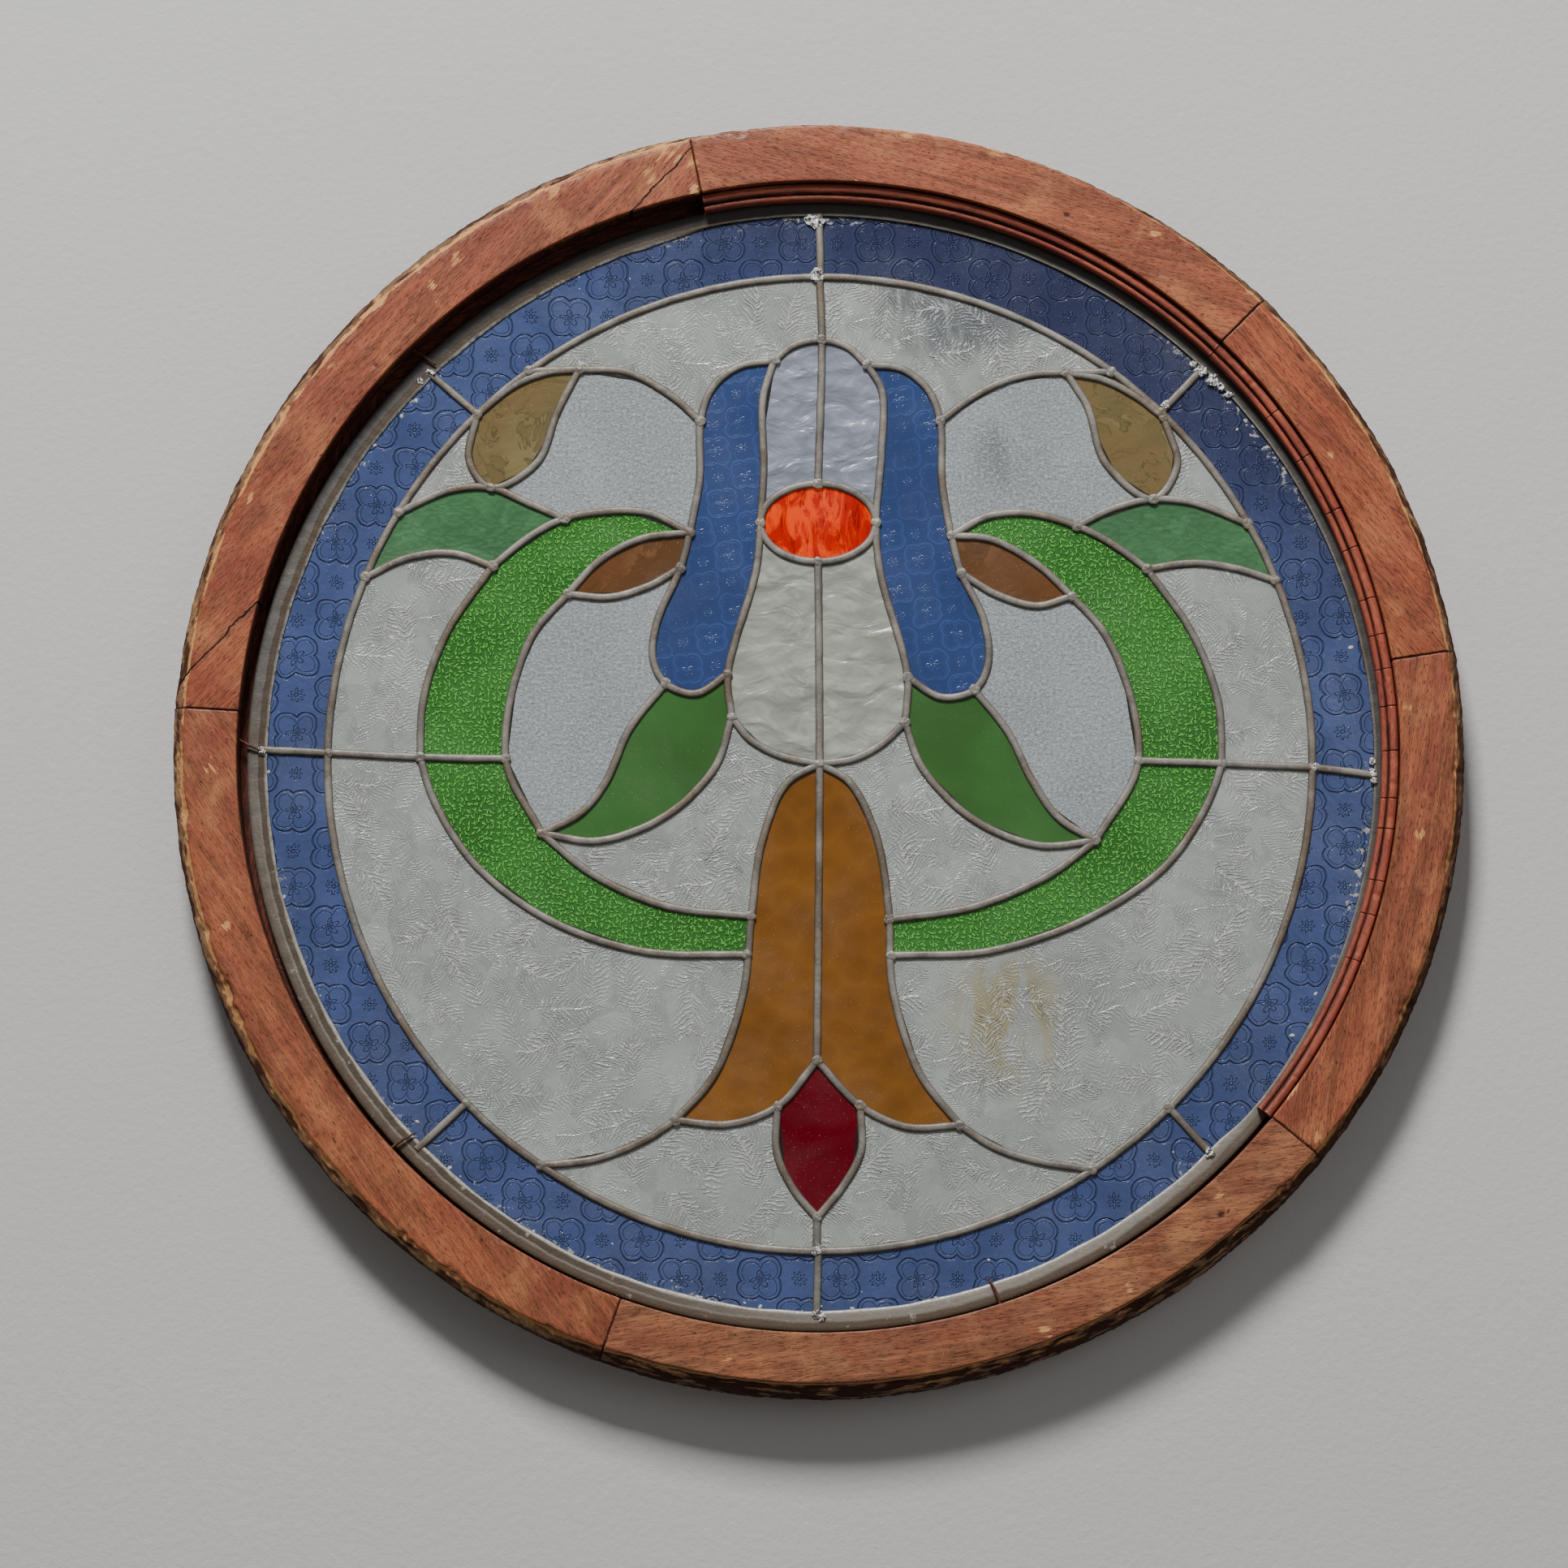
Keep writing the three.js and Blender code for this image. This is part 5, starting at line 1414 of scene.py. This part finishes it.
def came_lines():
    """The centre line of each narrow came, with True where it closes on itself."""
    lines = [(smooth_path(places), False) for places in CAMES]
    middle, panel = drawn("middle"), Vector((0, PANEL_MIDDLE, 0))
    for inner, outer in BORDER_SPOKES:
        inner, outer = math.radians(inner), math.radians(outer)
        foot = middle + direction(inner) * BORDER_RADIUS
        tip = panel + direction(outer) * (PANEL_RADIUS - 9 * MM)
        lines.append(([foot, tip], False))
    lines.append((oval_path(middle, BORDER_RADIUS, BORDER_RADIUS, 240), True))
    top, foot, left, right = (drawn(f"oval_{side}") for side in ("top", "foot", "left", "right"))
    centre = Vector(((left.x + right.x) / 2, (top.y + foot.y) / 2, 0))
    lines.append((oval_path(centre, (right.x - left.x) / 2, (top.y - foot.y) / 2, 64), True))
    return lines


def geometry_group(name, sizes):
    """An empty geometry tree with a geometry input and output and named sizes."""
    tree = bpy.data.node_groups.new(name, "GeometryNodeTree")
    tree.interface.new_socket("Geometry", in_out="INPUT", socket_type="NodeSocketGeometry")
    tree.interface.new_socket("Geometry", in_out="OUTPUT", socket_type="NodeSocketGeometry")
    for label, kind in sizes:
        tree.interface.new_socket(label, in_out="INPUT", socket_type=kind)
    return tree, tree.nodes.new("NodeGroupInput"), tree.nodes.new("NodeGroupOutput")


def shaped(tree, value, power):
    """A value from -1 to 1 with its sign kept and its size raised to a power."""
    size = calc(tree, "POWER", calc(tree, "ABSOLUTE", value), power)
    return times(tree, size, calc(tree, "SIGN", value))


def random_value(tree, low, high, seed):
    inputs = {2: low, 3: high, "Seed": seed}
    return add(tree, "FunctionNodeRandomValue", inputs, data_type="FLOAT").outputs[1]


def came_tree():
    """Sweeps the rounded section of a came along each line of the drawing."""
    sizes = [
        ("Came width", FLOAT), ("Came depth", FLOAT), ("Middle height", FLOAT), ("Unevenness", FLOAT),
        ("Lead", "NodeSocketMaterial"),
    ]
    tree, source, sink = geometry_group("Came sweep", sizes)
    circle = add(tree, "GeometryNodeCurvePrimitiveCircle", {"Resolution": 22, "Radius": 1.0})
    corner = split_vector(tree, add(tree, "GeometryNodeInputPosition").outputs[0])
    across = shaped(tree, corner["X"], 0.6)
    x = times(tree, across, times(tree, source.outputs["Came width"], 0.5))
    y = times(tree, shaped(tree, corner["Y"], 0.8), times(tree, source.outputs["Came depth"], 0.5))
    place = add(tree, "ShaderNodeCombineXYZ", {"X": x, "Y": y})
    marked = add(
        tree, "GeometryNodeStoreNamedAttribute",
        {"Geometry": circle.outputs["Curve"], "Name": "across", "Value": across},
        data_type="FLOAT", domain="POINT",
    )
    inputs = {"Geometry": marked.outputs[0], "Position": place.outputs[0]}
    section = add(tree, "GeometryNodeSetPosition", inputs)
    inputs = {"Curve": source.outputs["Geometry"], "Length": CAME_STEP}
    even = add(tree, "GeometryNodeResampleCurve", inputs, mode="LENGTH")
    level = add(tree, "GeometryNodeSetCurveNormal", {"Curve": even.outputs[0]}, mode="Z_UP")
    swept = add(
        tree, "GeometryNodeCurveToMesh",
        {"Curve": level.outputs[0], "Profile Curve": section.outputs[0], "Fill Caps": True},
    )
    ripple = add(tree, "ShaderNodeTexNoise", {"Scale": 70.0, "Detail": 2.0})
    ripple_from = calc_vector(tree, "SUBTRACT", ripple.outputs["Color"], (0.5, 0.5, 0.5))
    offset = calc_vector(tree, "SCALE", ripple_from, source.outputs["Unevenness"])
    lifted = add(tree, "ShaderNodeCombineXYZ", {"Z": source.outputs["Middle height"]})
    offset = calc_vector(tree, "ADD", offset, lifted.outputs[0])
    moved = add(tree, "GeometryNodeSetPosition", {"Geometry": swept.outputs[0], "Offset": offset})
    finish_tree(tree, moved.outputs[0], source.outputs["Lead"], sink)
    return tree


def solder_tree():
    """Sets an uneven mound of solder on each point, as large as the point says."""
    sizes = [
        ("Solder height", FLOAT), ("Lumpiness", FLOAT), ("Lump size", FLOAT), ("Seed", "NodeSocketInt"),
        ("Metal", "NodeSocketMaterial"),
    ]
    tree, source, sink = geometry_group("Solder joints", sizes)
    reach = add(tree, "GeometryNodeInputNamedAttribute", {"Name": "reach"}, data_type="FLOAT").outputs[0]
    uneven = random_value(tree, 0.8, 1.2, source.outputs["Seed"])
    turn = random_value(tree, 0.0, 2 * math.pi, source.outputs["Seed"])
    scale = add(
        tree, "ShaderNodeCombineXYZ",
        {"X": times(tree, reach, uneven), "Y": reach, "Z": source.outputs["Solder height"]},
    )
    rotation = add(tree, "ShaderNodeCombineXYZ", {"Z": turn})
    ball = add(tree, "GeometryNodeMeshIcoSphere", {"Radius": 1.0, "Subdivisions": 4})
    spread = add(
        tree, "GeometryNodeInstanceOnPoints",
        {
            "Points": source.outputs["Geometry"], "Instance": ball.outputs["Mesh"],
            "Rotation": rotation.outputs[0], "Scale": scale.outputs[0],
        },
    )
    real = add(tree, "GeometryNodeRealizeInstances", {"Geometry": spread.outputs[0]})
    share = calc(tree, "DIVIDE", 1.0, source.outputs["Lump size"])
    lumps = add(tree, "ShaderNodeTexNoise", {"Scale": share, "Detail": 3.0, "Roughness": 0.6})
    lumps_from = calc_vector(tree, "SUBTRACT", lumps.outputs["Color"], (0.5, 0.5, 0.5))
    offset = calc_vector(tree, "SCALE", lumps_from, source.outputs["Lumpiness"])
    moved = add(tree, "GeometryNodeSetPosition", {"Geometry": real.outputs[0], "Offset": offset})
    finish_tree(tree, moved.outputs[0], source.outputs["Metal"], sink)
    return tree


def speck_tree():
    """Strews flat crumbs over a surface, thicker where its mask says."""
    sizes = [
        ("Density", FLOAT), ("Smallest", FLOAT), ("Largest", FLOAT), ("Seed", "NodeSocketInt"),
        ("Putty", "NodeSocketMaterial"),
    ]
    tree, source, sink = geometry_group("Putty specks", sizes)
    mask = add(tree, "GeometryNodeInputNamedAttribute", {"Name": "thick"}, data_type="FLOAT").outputs[0]
    scattered = add(
        tree, "GeometryNodeDistributePointsOnFaces",
        {
            "Mesh": source.outputs["Geometry"], "Seed": source.outputs["Seed"],
            "Density": times(tree, source.outputs["Density"], mask),
        },
    )
    reach = random_value(tree, 0.0, 1.0, source.outputs["Seed"])
    reach = calc(tree, "POWER", reach, 3.0)
    spread = calc(tree, "SUBTRACT", source.outputs["Largest"], source.outputs["Smallest"])
    reach = calc(tree, "MULTIPLY_ADD", reach, spread, source.outputs["Smallest"])
    scale = add(
        tree, "ShaderNodeCombineXYZ",
        {"X": times(tree, reach, 1.5), "Y": reach, "Z": times(tree, reach, 0.4)},
    )
    turn = random_value(tree, 0.0, 2 * math.pi, 3)
    rotation = add(tree, "ShaderNodeCombineXYZ", {"Z": turn})
    crumb = add(tree, "GeometryNodeMeshIcoSphere", {"Radius": 1.0, "Subdivisions": 2})
    instances = add(
        tree, "GeometryNodeInstanceOnPoints",
        {
            "Points": scattered.outputs["Points"], "Instance": crumb.outputs["Mesh"],
            "Rotation": rotation.outputs[0], "Scale": scale.outputs[0],
        },
    )
    real = add(tree, "GeometryNodeRealizeInstances", {"Geometry": instances.outputs[0]})
    finish_tree(tree, real.outputs[0], source.outputs["Putty"], sink)
    return tree


def finish_tree(tree, geometry, material, sink):
    """Every geometry tree ends in real geometry with its material."""
    real = add(tree, "GeometryNodeRealizeInstances", {"Geometry": geometry})
    dressed = add(tree, "GeometryNodeSetMaterial", {"Geometry": real.outputs[0], "Material": material})
    tree.links.new(dressed.outputs[0], sink.inputs["Geometry"])


def apply_tree(carrier, tree, name, **inputs):
    """Runs a geometry tree on an object and gives back its result as a plain mesh object."""
    modifier = carrier.modifiers.new(tree.name, "NODES")
    modifier.node_group = tree
    for item in tree.interface.items_tree:
        key = item.name.lower().replace(" ", "_")
        if item.in_out == "INPUT" and key in inputs:
            modifier[item.identifier] = inputs[key]
    bpy.context.view_layer.update()
    graph = bpy.context.evaluated_depsgraph_get()
    evaluated = carrier.evaluated_get(graph)
    mesh = bpy.data.meshes.new_from_object(evaluated, preserve_all_data_layers=True, depsgraph=graph)
    mesh.name = name
    carrier.modifiers.remove(modifier)
    bpy.data.objects.remove(carrier)
    stand_up(mesh)
    return in_scene(name, mesh)


def curve_carrier(name, lines):
    curve = bpy.data.curves.new(name, "CURVE")
    curve.dimensions = "3D"
    for path, closed in lines:
        spline = curve.splines.new("POLY")
        spline.points.add(len(path) - 1)
        spline.points.foreach_set("co", [value for point in path for value in (*point, 1.0)])
        spline.use_cyclic_u = closed
    return in_scene(name, curve)


def point_carrier(name, points, reaches):
    mesh = bpy.data.meshes.new(name)
    mesh.from_pydata([tuple(point) for point in points], [], [])
    layer = mesh.attributes.new("reach", "FLOAT", "POINT")
    layer.data.foreach_set("value", reaches)
    return in_scene(name, mesh)


def build_cames(sizes, lead):
    back = PANEL_BACK + 0.1 * MM
    crown = PANEL_FRONT + sizes.came_crown
    piece = apply_tree(
        curve_carrier("came_lines", came_lines()), came_tree(), "lead_cames_fine",
        came_width=sizes.came_width, came_depth=crown - back, middle_height=(crown + back) / 2,
        unevenness=0.7 * MM, lead=lead,
    )
    return finish_piece(piece, lead, "lead", "lead_cames")


def build_rim_came(sizes, colours):
    inner, wall = PANEL_RADIUS - RIM_CAME_WIDTH, PANEL_RADIUS - RIM_CAME_WALL
    flange = 1.0 * MM
    top = PANEL_FRONT
    corners = [
        (inner, top - flange), (inner + 0.6 * MM, top - 0.3 * MM), (inner + 2 * MM, top),
        (PANEL_RADIUS - 1.2 * MM, top), (PANEL_RADIUS, top - 0.8 * MM),
        (PANEL_RADIUS, PANEL_BACK + 0.5 * MM), (PANEL_RADIUS - 0.5 * MM, PANEL_BACK),
        (inner, PANEL_BACK), (inner, PANEL_BACK + flange),
        (wall, PANEL_BACK + flange), (wall, top - flange),
    ]
    section = dense_profile(corners[::-1], 2.2 * MM)
    angles = turned_angles(0, 2 * math.pi, 1.6 * sizes.ring_step / PANEL_RADIUS)[:-1]
    seed = sizes.seed + 70

    def relief(radii, heights, turns):
        angles = turns[:, 0]
        front = heights > top - 1.2 * MM
        dents = np.abs(around(angles, 34, seed))[:, None] * 0.5 * MM
        wander = around(angles, 18, seed + 1)[:, None] * 0.9 * MM
        degrees = (np.degrees(angles) + 180) % 360 - 180
        wander = wander + np.interp(degrees, (-44, -38, 100, 106), (0, 4.4, 4.4, 0))[:, None] * MM
        across = np.where(radii < inner + 3 * MM, (inner + 3 * MM - radii) / (3 * MM), 0)
        inner_edge = front * np.clip(across, 0, 1)
        values = {"across": (0.9 * across).ravel()}
        return radii + inner_edge * wander, heights - front * dents, turns, values

    def around_panel(radii, heights, turns):
        radii, heights, turns, values = relief(radii, heights, turns)
        x, y = radii * np.cos(turns), radii * np.sin(turns) + PANEL_MIDDLE
        return np.hypot(x, y), heights, np.arctan2(y, x), values

    piece = turned_piece("lead_rim_came", section, angles, around_panel, closed=True)
    finish_piece(piece, lead_material("rim_lead", colours, rim=True), "lead", "lead_cames")


def joint_places():
    """Where cames meet, each place once."""
    last = ("bud_top", "oval_left", "oval_right")
    places = [drawn(name) for name in AT if name not in {"middle", *last}]
    places += [drawn(name) for name in last]
    places += [drawn(end) for end in OPEN_ENDS]
    middle = drawn("middle")
    for inner, _ in BORDER_SPOKES:
        angle = math.radians(inner)
        places.append(middle + direction(angle) * BORDER_RADIUS)
    kept = []
    for place in places:
        if all((place - other).length > 4 * MM for other in kept):
            kept.append(place)
    return kept


def build_solder(sizes, colours, lead):
    height = PANEL_FRONT + 0.35 * MM
    dull = [Vector((p.x, p.y, height)) for p in joint_places()]
    piece = apply_tree(
        point_carrier("solder_points", dull, [3.6 * MM] * len(dull)), solder_tree(), "lead_solder_joints",
        solder_height=sizes.solder_height, lumpiness=1.7 * MM, lump_size=4 * MM,
        seed=sizes.seed, metal=lead,
    )
    finish_piece(piece, lead, "lead", "lead_cames")
    fresh = [Vector((x * MM, y * MM + PANEL_MIDDLE, height)) for x, y, _ in FRESH_SOLDER]
    material = solder_material(colours)
    piece = apply_tree(
        point_carrier("fresh_points", fresh, [reach * MM for _, _, reach in FRESH_SOLDER]),
        bpy.data.node_groups["Solder joints"], "lead_fresh_solder",
        solder_height=1.1 * sizes.solder_height, lumpiness=6 * MM, lump_size=4.4 * MM,
        seed=sizes.seed + 1, metal=material,
    )
    finish_piece(piece, material, "lead", "lead_cames")


def build_specks(sizes, colours):
    """Crumbs of putty and paint on the glass beside the rim came."""
    glass_front = -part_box("glass_ruby")[0].y
    verts, faces, thick = [], [], []
    turns = 180
    inner, outer = PANEL_RADIUS - 34 * MM, PANEL_RADIUS - RIM_CAME_WIDTH + 0.5 * MM
    rings = (inner, outer - 9 * MM, outer - 4 * MM, outer)
    for i in range(turns):
        angle = 2 * math.pi * i / turns
        clump = 0.5 + 0.5 * noise.noise(direction(angle) * 7)
        left = 0.22
        if math.sin(angle) < 0.75 and (math.cos(angle) < 0.2 or math.sin(angle) < -0.3):
            left = 1.0
        for share, radius in zip((0.04, 0.12, 0.5, 1.0), rings):
            verts.append((radius * math.cos(angle), radius * math.sin(angle) + PANEL_MIDDLE, glass_front))
            thick.append(share * max(clump, 0) ** 4 * left)
    for i in range(turns):
        for j in range(len(rings) - 1):
            here, there = i * len(rings) + j, ((i + 1) % turns) * len(rings) + j
            faces.append((here, there, there + 1, here + 1))
    mesh = bpy.data.meshes.new("speck_ground")
    mesh.from_pydata(verts, [], faces)
    layer = mesh.attributes.new("thick", "FLOAT", "POINT")
    layer.data.foreach_set("value", thick)
    material = putty_material(colours)
    piece = apply_tree(
        in_scene("speck_ground", mesh), speck_tree(), "putty_specks",
        density=90000.0, smallest=0.25 * MM, largest=1.4 * MM, seed=sizes.seed, putty=material,
    )
    finish_piece(piece, material, "lead")


def dress_glass(sizes, colours):
    """The panes keep their solids and get their own pressed glass, by the start of their names."""
    border = quatrefoil_pattern(sizes.figure_pitch)
    petal = petal_pattern(0.7 * sizes.figure_pitch)
    leaf_hammered = hammered_pattern(230.0, 0.25 * MM, 0.25)
    upper_hammered = hammered_pattern(70.0, 1.3 * MM, 0.4)
    lower_hammered = hammered_pattern(60.0, 1.3 * MM, 0.3)
    kinds = (
        ("glass_border", "blue_figured_glass", colours.blue, border, 0.35, 0.16),
        ("glass_upper_field", "sandy_glass", colours.sandy, sandy_pattern, 0.35, 0.4),
        ("glass_inner_field", "sandy_glass", colours.sandy, sandy_pattern, 0.35, 0.4),
        ("glass_drop", "olive_glass", colours.olive, mottled_pattern(0.25, 0.55), 0.3, 0.2),
        ("glass_outer_leaf", "green_glass", colours.outer_leaf, leaf_hammered, 0.35, 0.25),
        ("glass_lower_leaf", "leaf_green_glass", colours.lower_leaf, plain_pattern, 0.35, 0.12),
        ("glass_ribbon", "bright_green_glass", colours.ribbon, rice_pattern, 0.35, 0.2),
        ("glass_small_leaf", "brown_glass", colours.brown, mottled_pattern(0.15, 0.1), 0.3, 0.2),
        ("glass_petal", "blue_glass", colours.petal, petal, 0.35, 0.22),
        ("glass_bud_upper", "hammered_glass_upper", colours.hammered_upper, upper_hammered, 0.4, 0.25),
        ("glass_bud_lower", "hammered_glass", colours.hammered_lower, lower_hammered, 0.4, 0.25),
        ("glass_oval", "orange_glass", colours.orange, streaky_pattern, 0.2, 0.18),
        ("glass_stem", "amber_glass", colours.amber, scale_pattern, 0.3, 0.16),
        ("glass_ruby", "ruby_glass", colours.ruby, plain_pattern, 0.3, 0.1),
        ("glass_", "clear_frosted_glass", colours.frosted, ice_pattern, 0.4, 0.2),
    )
    made = {}
    for node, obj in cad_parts.items():
        if not node.startswith("glass_"):
            continue
        kind = next(kind for kind in kinds if node.startswith(kind[0]))
        name = kind[1]
        if name not in made:
            # The orange glass gets a painted glow, as if lit from behind.
            plain = {"emission_strength": 0.28} if name == "orange_glass" else {}
            if name in {"orange_glass", "ruby_glass"}:
                plain["specular_ior_level"] = 0.15
            made[name] = glass_material(colours, *kind[1:], **plain)
        for slot in obj.material_slots:
            slot.material = made[name]


# Stage
def stage_material(name, colour):
    """Pale plaster that is seen from the front alone and keeps no light from the window."""
    material, tree, shader = new_material(name, roughness=0.85)
    place = own_place(tree)
    blotches = noise_value(tree, place, 1.6, 4.0, 0.55)
    stipple = noise_value(tree, place, 240.0, 3.0, 0.6)
    tone = mix_colours(tree, blotches, rgba(colour, 0.93), rgba(colour, 1.04))
    connect(tree, shader, base_color=tone)
    bumped(tree, shader, stipple, 0.5 * MM)
    path = add(tree, "ShaderNodeLightPath")
    front = calc(tree, "SUBTRACT", 1.0, add(tree, "ShaderNodeNewGeometry").outputs["Backfacing"])
    seen = times(tree, path.outputs["Is Camera Ray"], front)
    clear = add(tree, "ShaderNodeBsdfTransparent")
    shown = add(tree, "ShaderNodeMixShader", {0: seen, 1: clear.outputs[0], 2: shader.outputs[0]})
    output = next(node for node in tree.nodes if node.type == "OUTPUT_MATERIAL")
    tree.links.new(shown.outputs[0], output.inputs["Surface"])
    return material


def stage_plane(name, corners, material):
    mesh = bpy.data.meshes.new(name)
    mesh.from_pydata(corners, [], [(0, 1, 2, 3)])
    mesh.materials.append(material)
    in_scene(name, mesh)


def soft_light(name, place, target, power, size):
    data = bpy.data.lights.new(name, "AREA")
    data.energy, data.size = power, size
    light = in_scene(name, data)
    light.location = place
    light.rotation_euler = (Vector(target) - Vector(place)).to_track_quat("-Z", "Y").to_euler()


def build_camera():
    """The photograph's view: from about 3 m, a little below the normal of the panel."""
    middle = Vector((0, -PANEL_FRONT, FRAME_MIDDLE + PANEL_MIDDLE))
    forward = Vector((-0.00864, 0.9902, 0.1392)).normalized()
    right = forward.cross(Vector((0, 0, 1))).normalized()
    up = right.cross(forward)
    distance, right_of_axis, above_axis = 3.0, 22.8 * MM, 18.5 * MM
    place = middle - distance * forward - right_of_axis * right - above_axis * up
    data = bpy.data.cameras.new("camera")
    data.lens = 102.2
    camera = in_scene("camera", data)
    camera.location = place
    camera.rotation_euler = forward.to_track_quat("-Z", "Y").to_euler()
    bpy.context.scene.camera = camera


def build_stage(colours):
    pale = stage_material("pale_plaster", colours.backdrop)
    wall_y, floor_z, half = 2 * MM, CAD_BOX[0].z - 140 * MM, 1.1
    wall = [(-half, wall_y, floor_z), (half, wall_y, floor_z), (half, wall_y, 1.5), (-half, wall_y, 1.5)]
    stage_plane("backdrop_wall", wall, pale)
    stage_plane("floor", [(-3, -4, floor_z), (3, -4, floor_z), (3, 3, floor_z), (-3, 3, floor_z)], pale)
    world = bpy.data.worlds.new("pale_room")
    world.use_nodes = True
    background = next(node for node in world.node_tree.nodes if node.type == "BACKGROUND")
    background.inputs["Color"].default_value = rgba(colours.backdrop)
    background.inputs["Strength"].default_value = 0.21
    bpy.context.scene.world = world
    middle = (0, 0, FRAME_MIDDLE)
    soft_light("key_light", (-0.75, -3.1, 4.3), middle, 342, 1.1)
    soft_light("fill_light", (1.6, -2.2, 0.9), middle, 6, 1.6)


# Operators and panel
class StepOperator:
    """What the building steps have in common"""

    bl_options = {"REGISTER", "UNDO"}

    def execute(self, context):
        self.make(context.scene.window_sizes, context.scene.window_colours)
        return {"FINISHED"}


class LEADEDWINDOW_OT_camera(StepOperator, bpy.types.Operator):
    """Set the camera where the photograph was taken"""

    bl_idname = "leaded_window.camera"
    bl_label = "Camera"

    def make(self, sizes, colours):
        build_camera()


class LEADEDWINDOW_OT_back_ring(StepOperator, bpy.types.Operator):
    """Make the dark back layer of the frame with its joints"""

    bl_idname = "leaded_window.back_ring"
    bl_label = "Back Ring"

    def make(self, sizes, colours):
        build_back_ring(sizes, colours)


class LEADEDWINDOW_OT_front_ring(StepOperator, bpy.types.Operator):
    """Make the six worn segments of the front ring"""

    bl_idname = "leaded_window.front_ring"
    bl_label = "Front Ring"

    def make(self, sizes, colours):
        build_front_ring(sizes, colours)


class LEADEDWINDOW_OT_beads(StepOperator, bpy.types.Operator):
    """Make the two lengths of reeded glazing bead"""

    bl_idname = "leaded_window.beads"
    bl_label = "Glazing Beads"

    def make(self, sizes, colours):
        build_beads(sizes, colours)


class LEADEDWINDOW_OT_brads(StepOperator, bpy.types.Operator):
    """Make the bent rusty brads that hold the panel"""

    bl_idname = "leaded_window.brads"
    bl_label = "Brads"

    def make(self, sizes, colours):
        build_brads(sizes, colours)


class LEADEDWINDOW_OT_leadwork(StepOperator, bpy.types.Operator):
    """Sweep the cames along the drawing and solder them"""

    bl_idname = "leaded_window.leadwork"
    bl_label = "Leadwork"

    def make(self, sizes, colours):
        lead = lead_material("lead", colours)
        build_cames(sizes, lead)
        build_rim_came(sizes, colours)
        build_solder(sizes, colours, lead)


class LEADEDWINDOW_OT_glass(StepOperator, bpy.types.Operator):
    """Give each pane its kind of glass"""

    bl_idname = "leaded_window.glass"
    bl_label = "Glass"

    def make(self, sizes, colours):
        dress_glass(sizes, colours)


class LEADEDWINDOW_OT_specks(StepOperator, bpy.types.Operator):
    """Strew crumbs of putty along the rim of the panel"""

    bl_idname = "leaded_window.specks"
    bl_label = "Putty Specks"

    def make(self, sizes, colours):
        build_specks(sizes, colours)


class LEADEDWINDOW_OT_stage(StepOperator, bpy.types.Operator):
    """Set up the pale wall and floor and the soft light"""

    bl_idname = "leaded_window.stage"
    bl_label = "Stage"

    def make(self, sizes, colours):
        build_stage(colours)


STEPS = (
    LEADEDWINDOW_OT_camera,
    LEADEDWINDOW_OT_back_ring,
    LEADEDWINDOW_OT_front_ring,
    LEADEDWINDOW_OT_beads,
    LEADEDWINDOW_OT_brads,
    LEADEDWINDOW_OT_leadwork,
    LEADEDWINDOW_OT_glass,
    LEADEDWINDOW_OT_specks,
    LEADEDWINDOW_OT_stage,
)


class LEADEDWINDOW_PT_panel(bpy.types.Panel):
    """Sizes, colours and building steps of the window"""

    bl_idname = "LEADEDWINDOW_PT_panel"
    bl_label = "Leaded Window"
    bl_space_type = "VIEW_3D"
    bl_region_type = "UI"
    bl_category = "Window"

    def draw(self, context):
        for group in (context.scene.window_sizes, context.scene.window_colours):
            box = self.layout.box()
            for name in group.__annotations__:
                box.prop(group, name)
        for step in STEPS:
            self.layout.operator(step.bl_idname)


CLASSES = (WindowSizes, WindowColours, *STEPS, LEADEDWINDOW_PT_panel)


def register():
    for cls in CLASSES:
        bpy.utils.register_class(cls)
    bpy.types.Scene.window_sizes = PointerProperty(type=WindowSizes)
    bpy.types.Scene.window_colours = PointerProperty(type=WindowColours)


def unregister():
    del bpy.types.Scene.window_colours
    del bpy.types.Scene.window_sizes
    for cls in reversed(CLASSES):
        bpy.utils.unregister_class(cls)


def main():
    register()
    bpy.ops.leaded_window.camera()
    bpy.ops.leaded_window.back_ring()
    bpy.ops.leaded_window.front_ring()
    bpy.ops.leaded_window.beads()
    bpy.ops.leaded_window.brads()
    bpy.ops.leaded_window.leadwork()
    bpy.ops.leaded_window.glass()
    bpy.ops.leaded_window.specks()
    bpy.ops.leaded_window.stage()


if __name__ == "__main__":
    main()
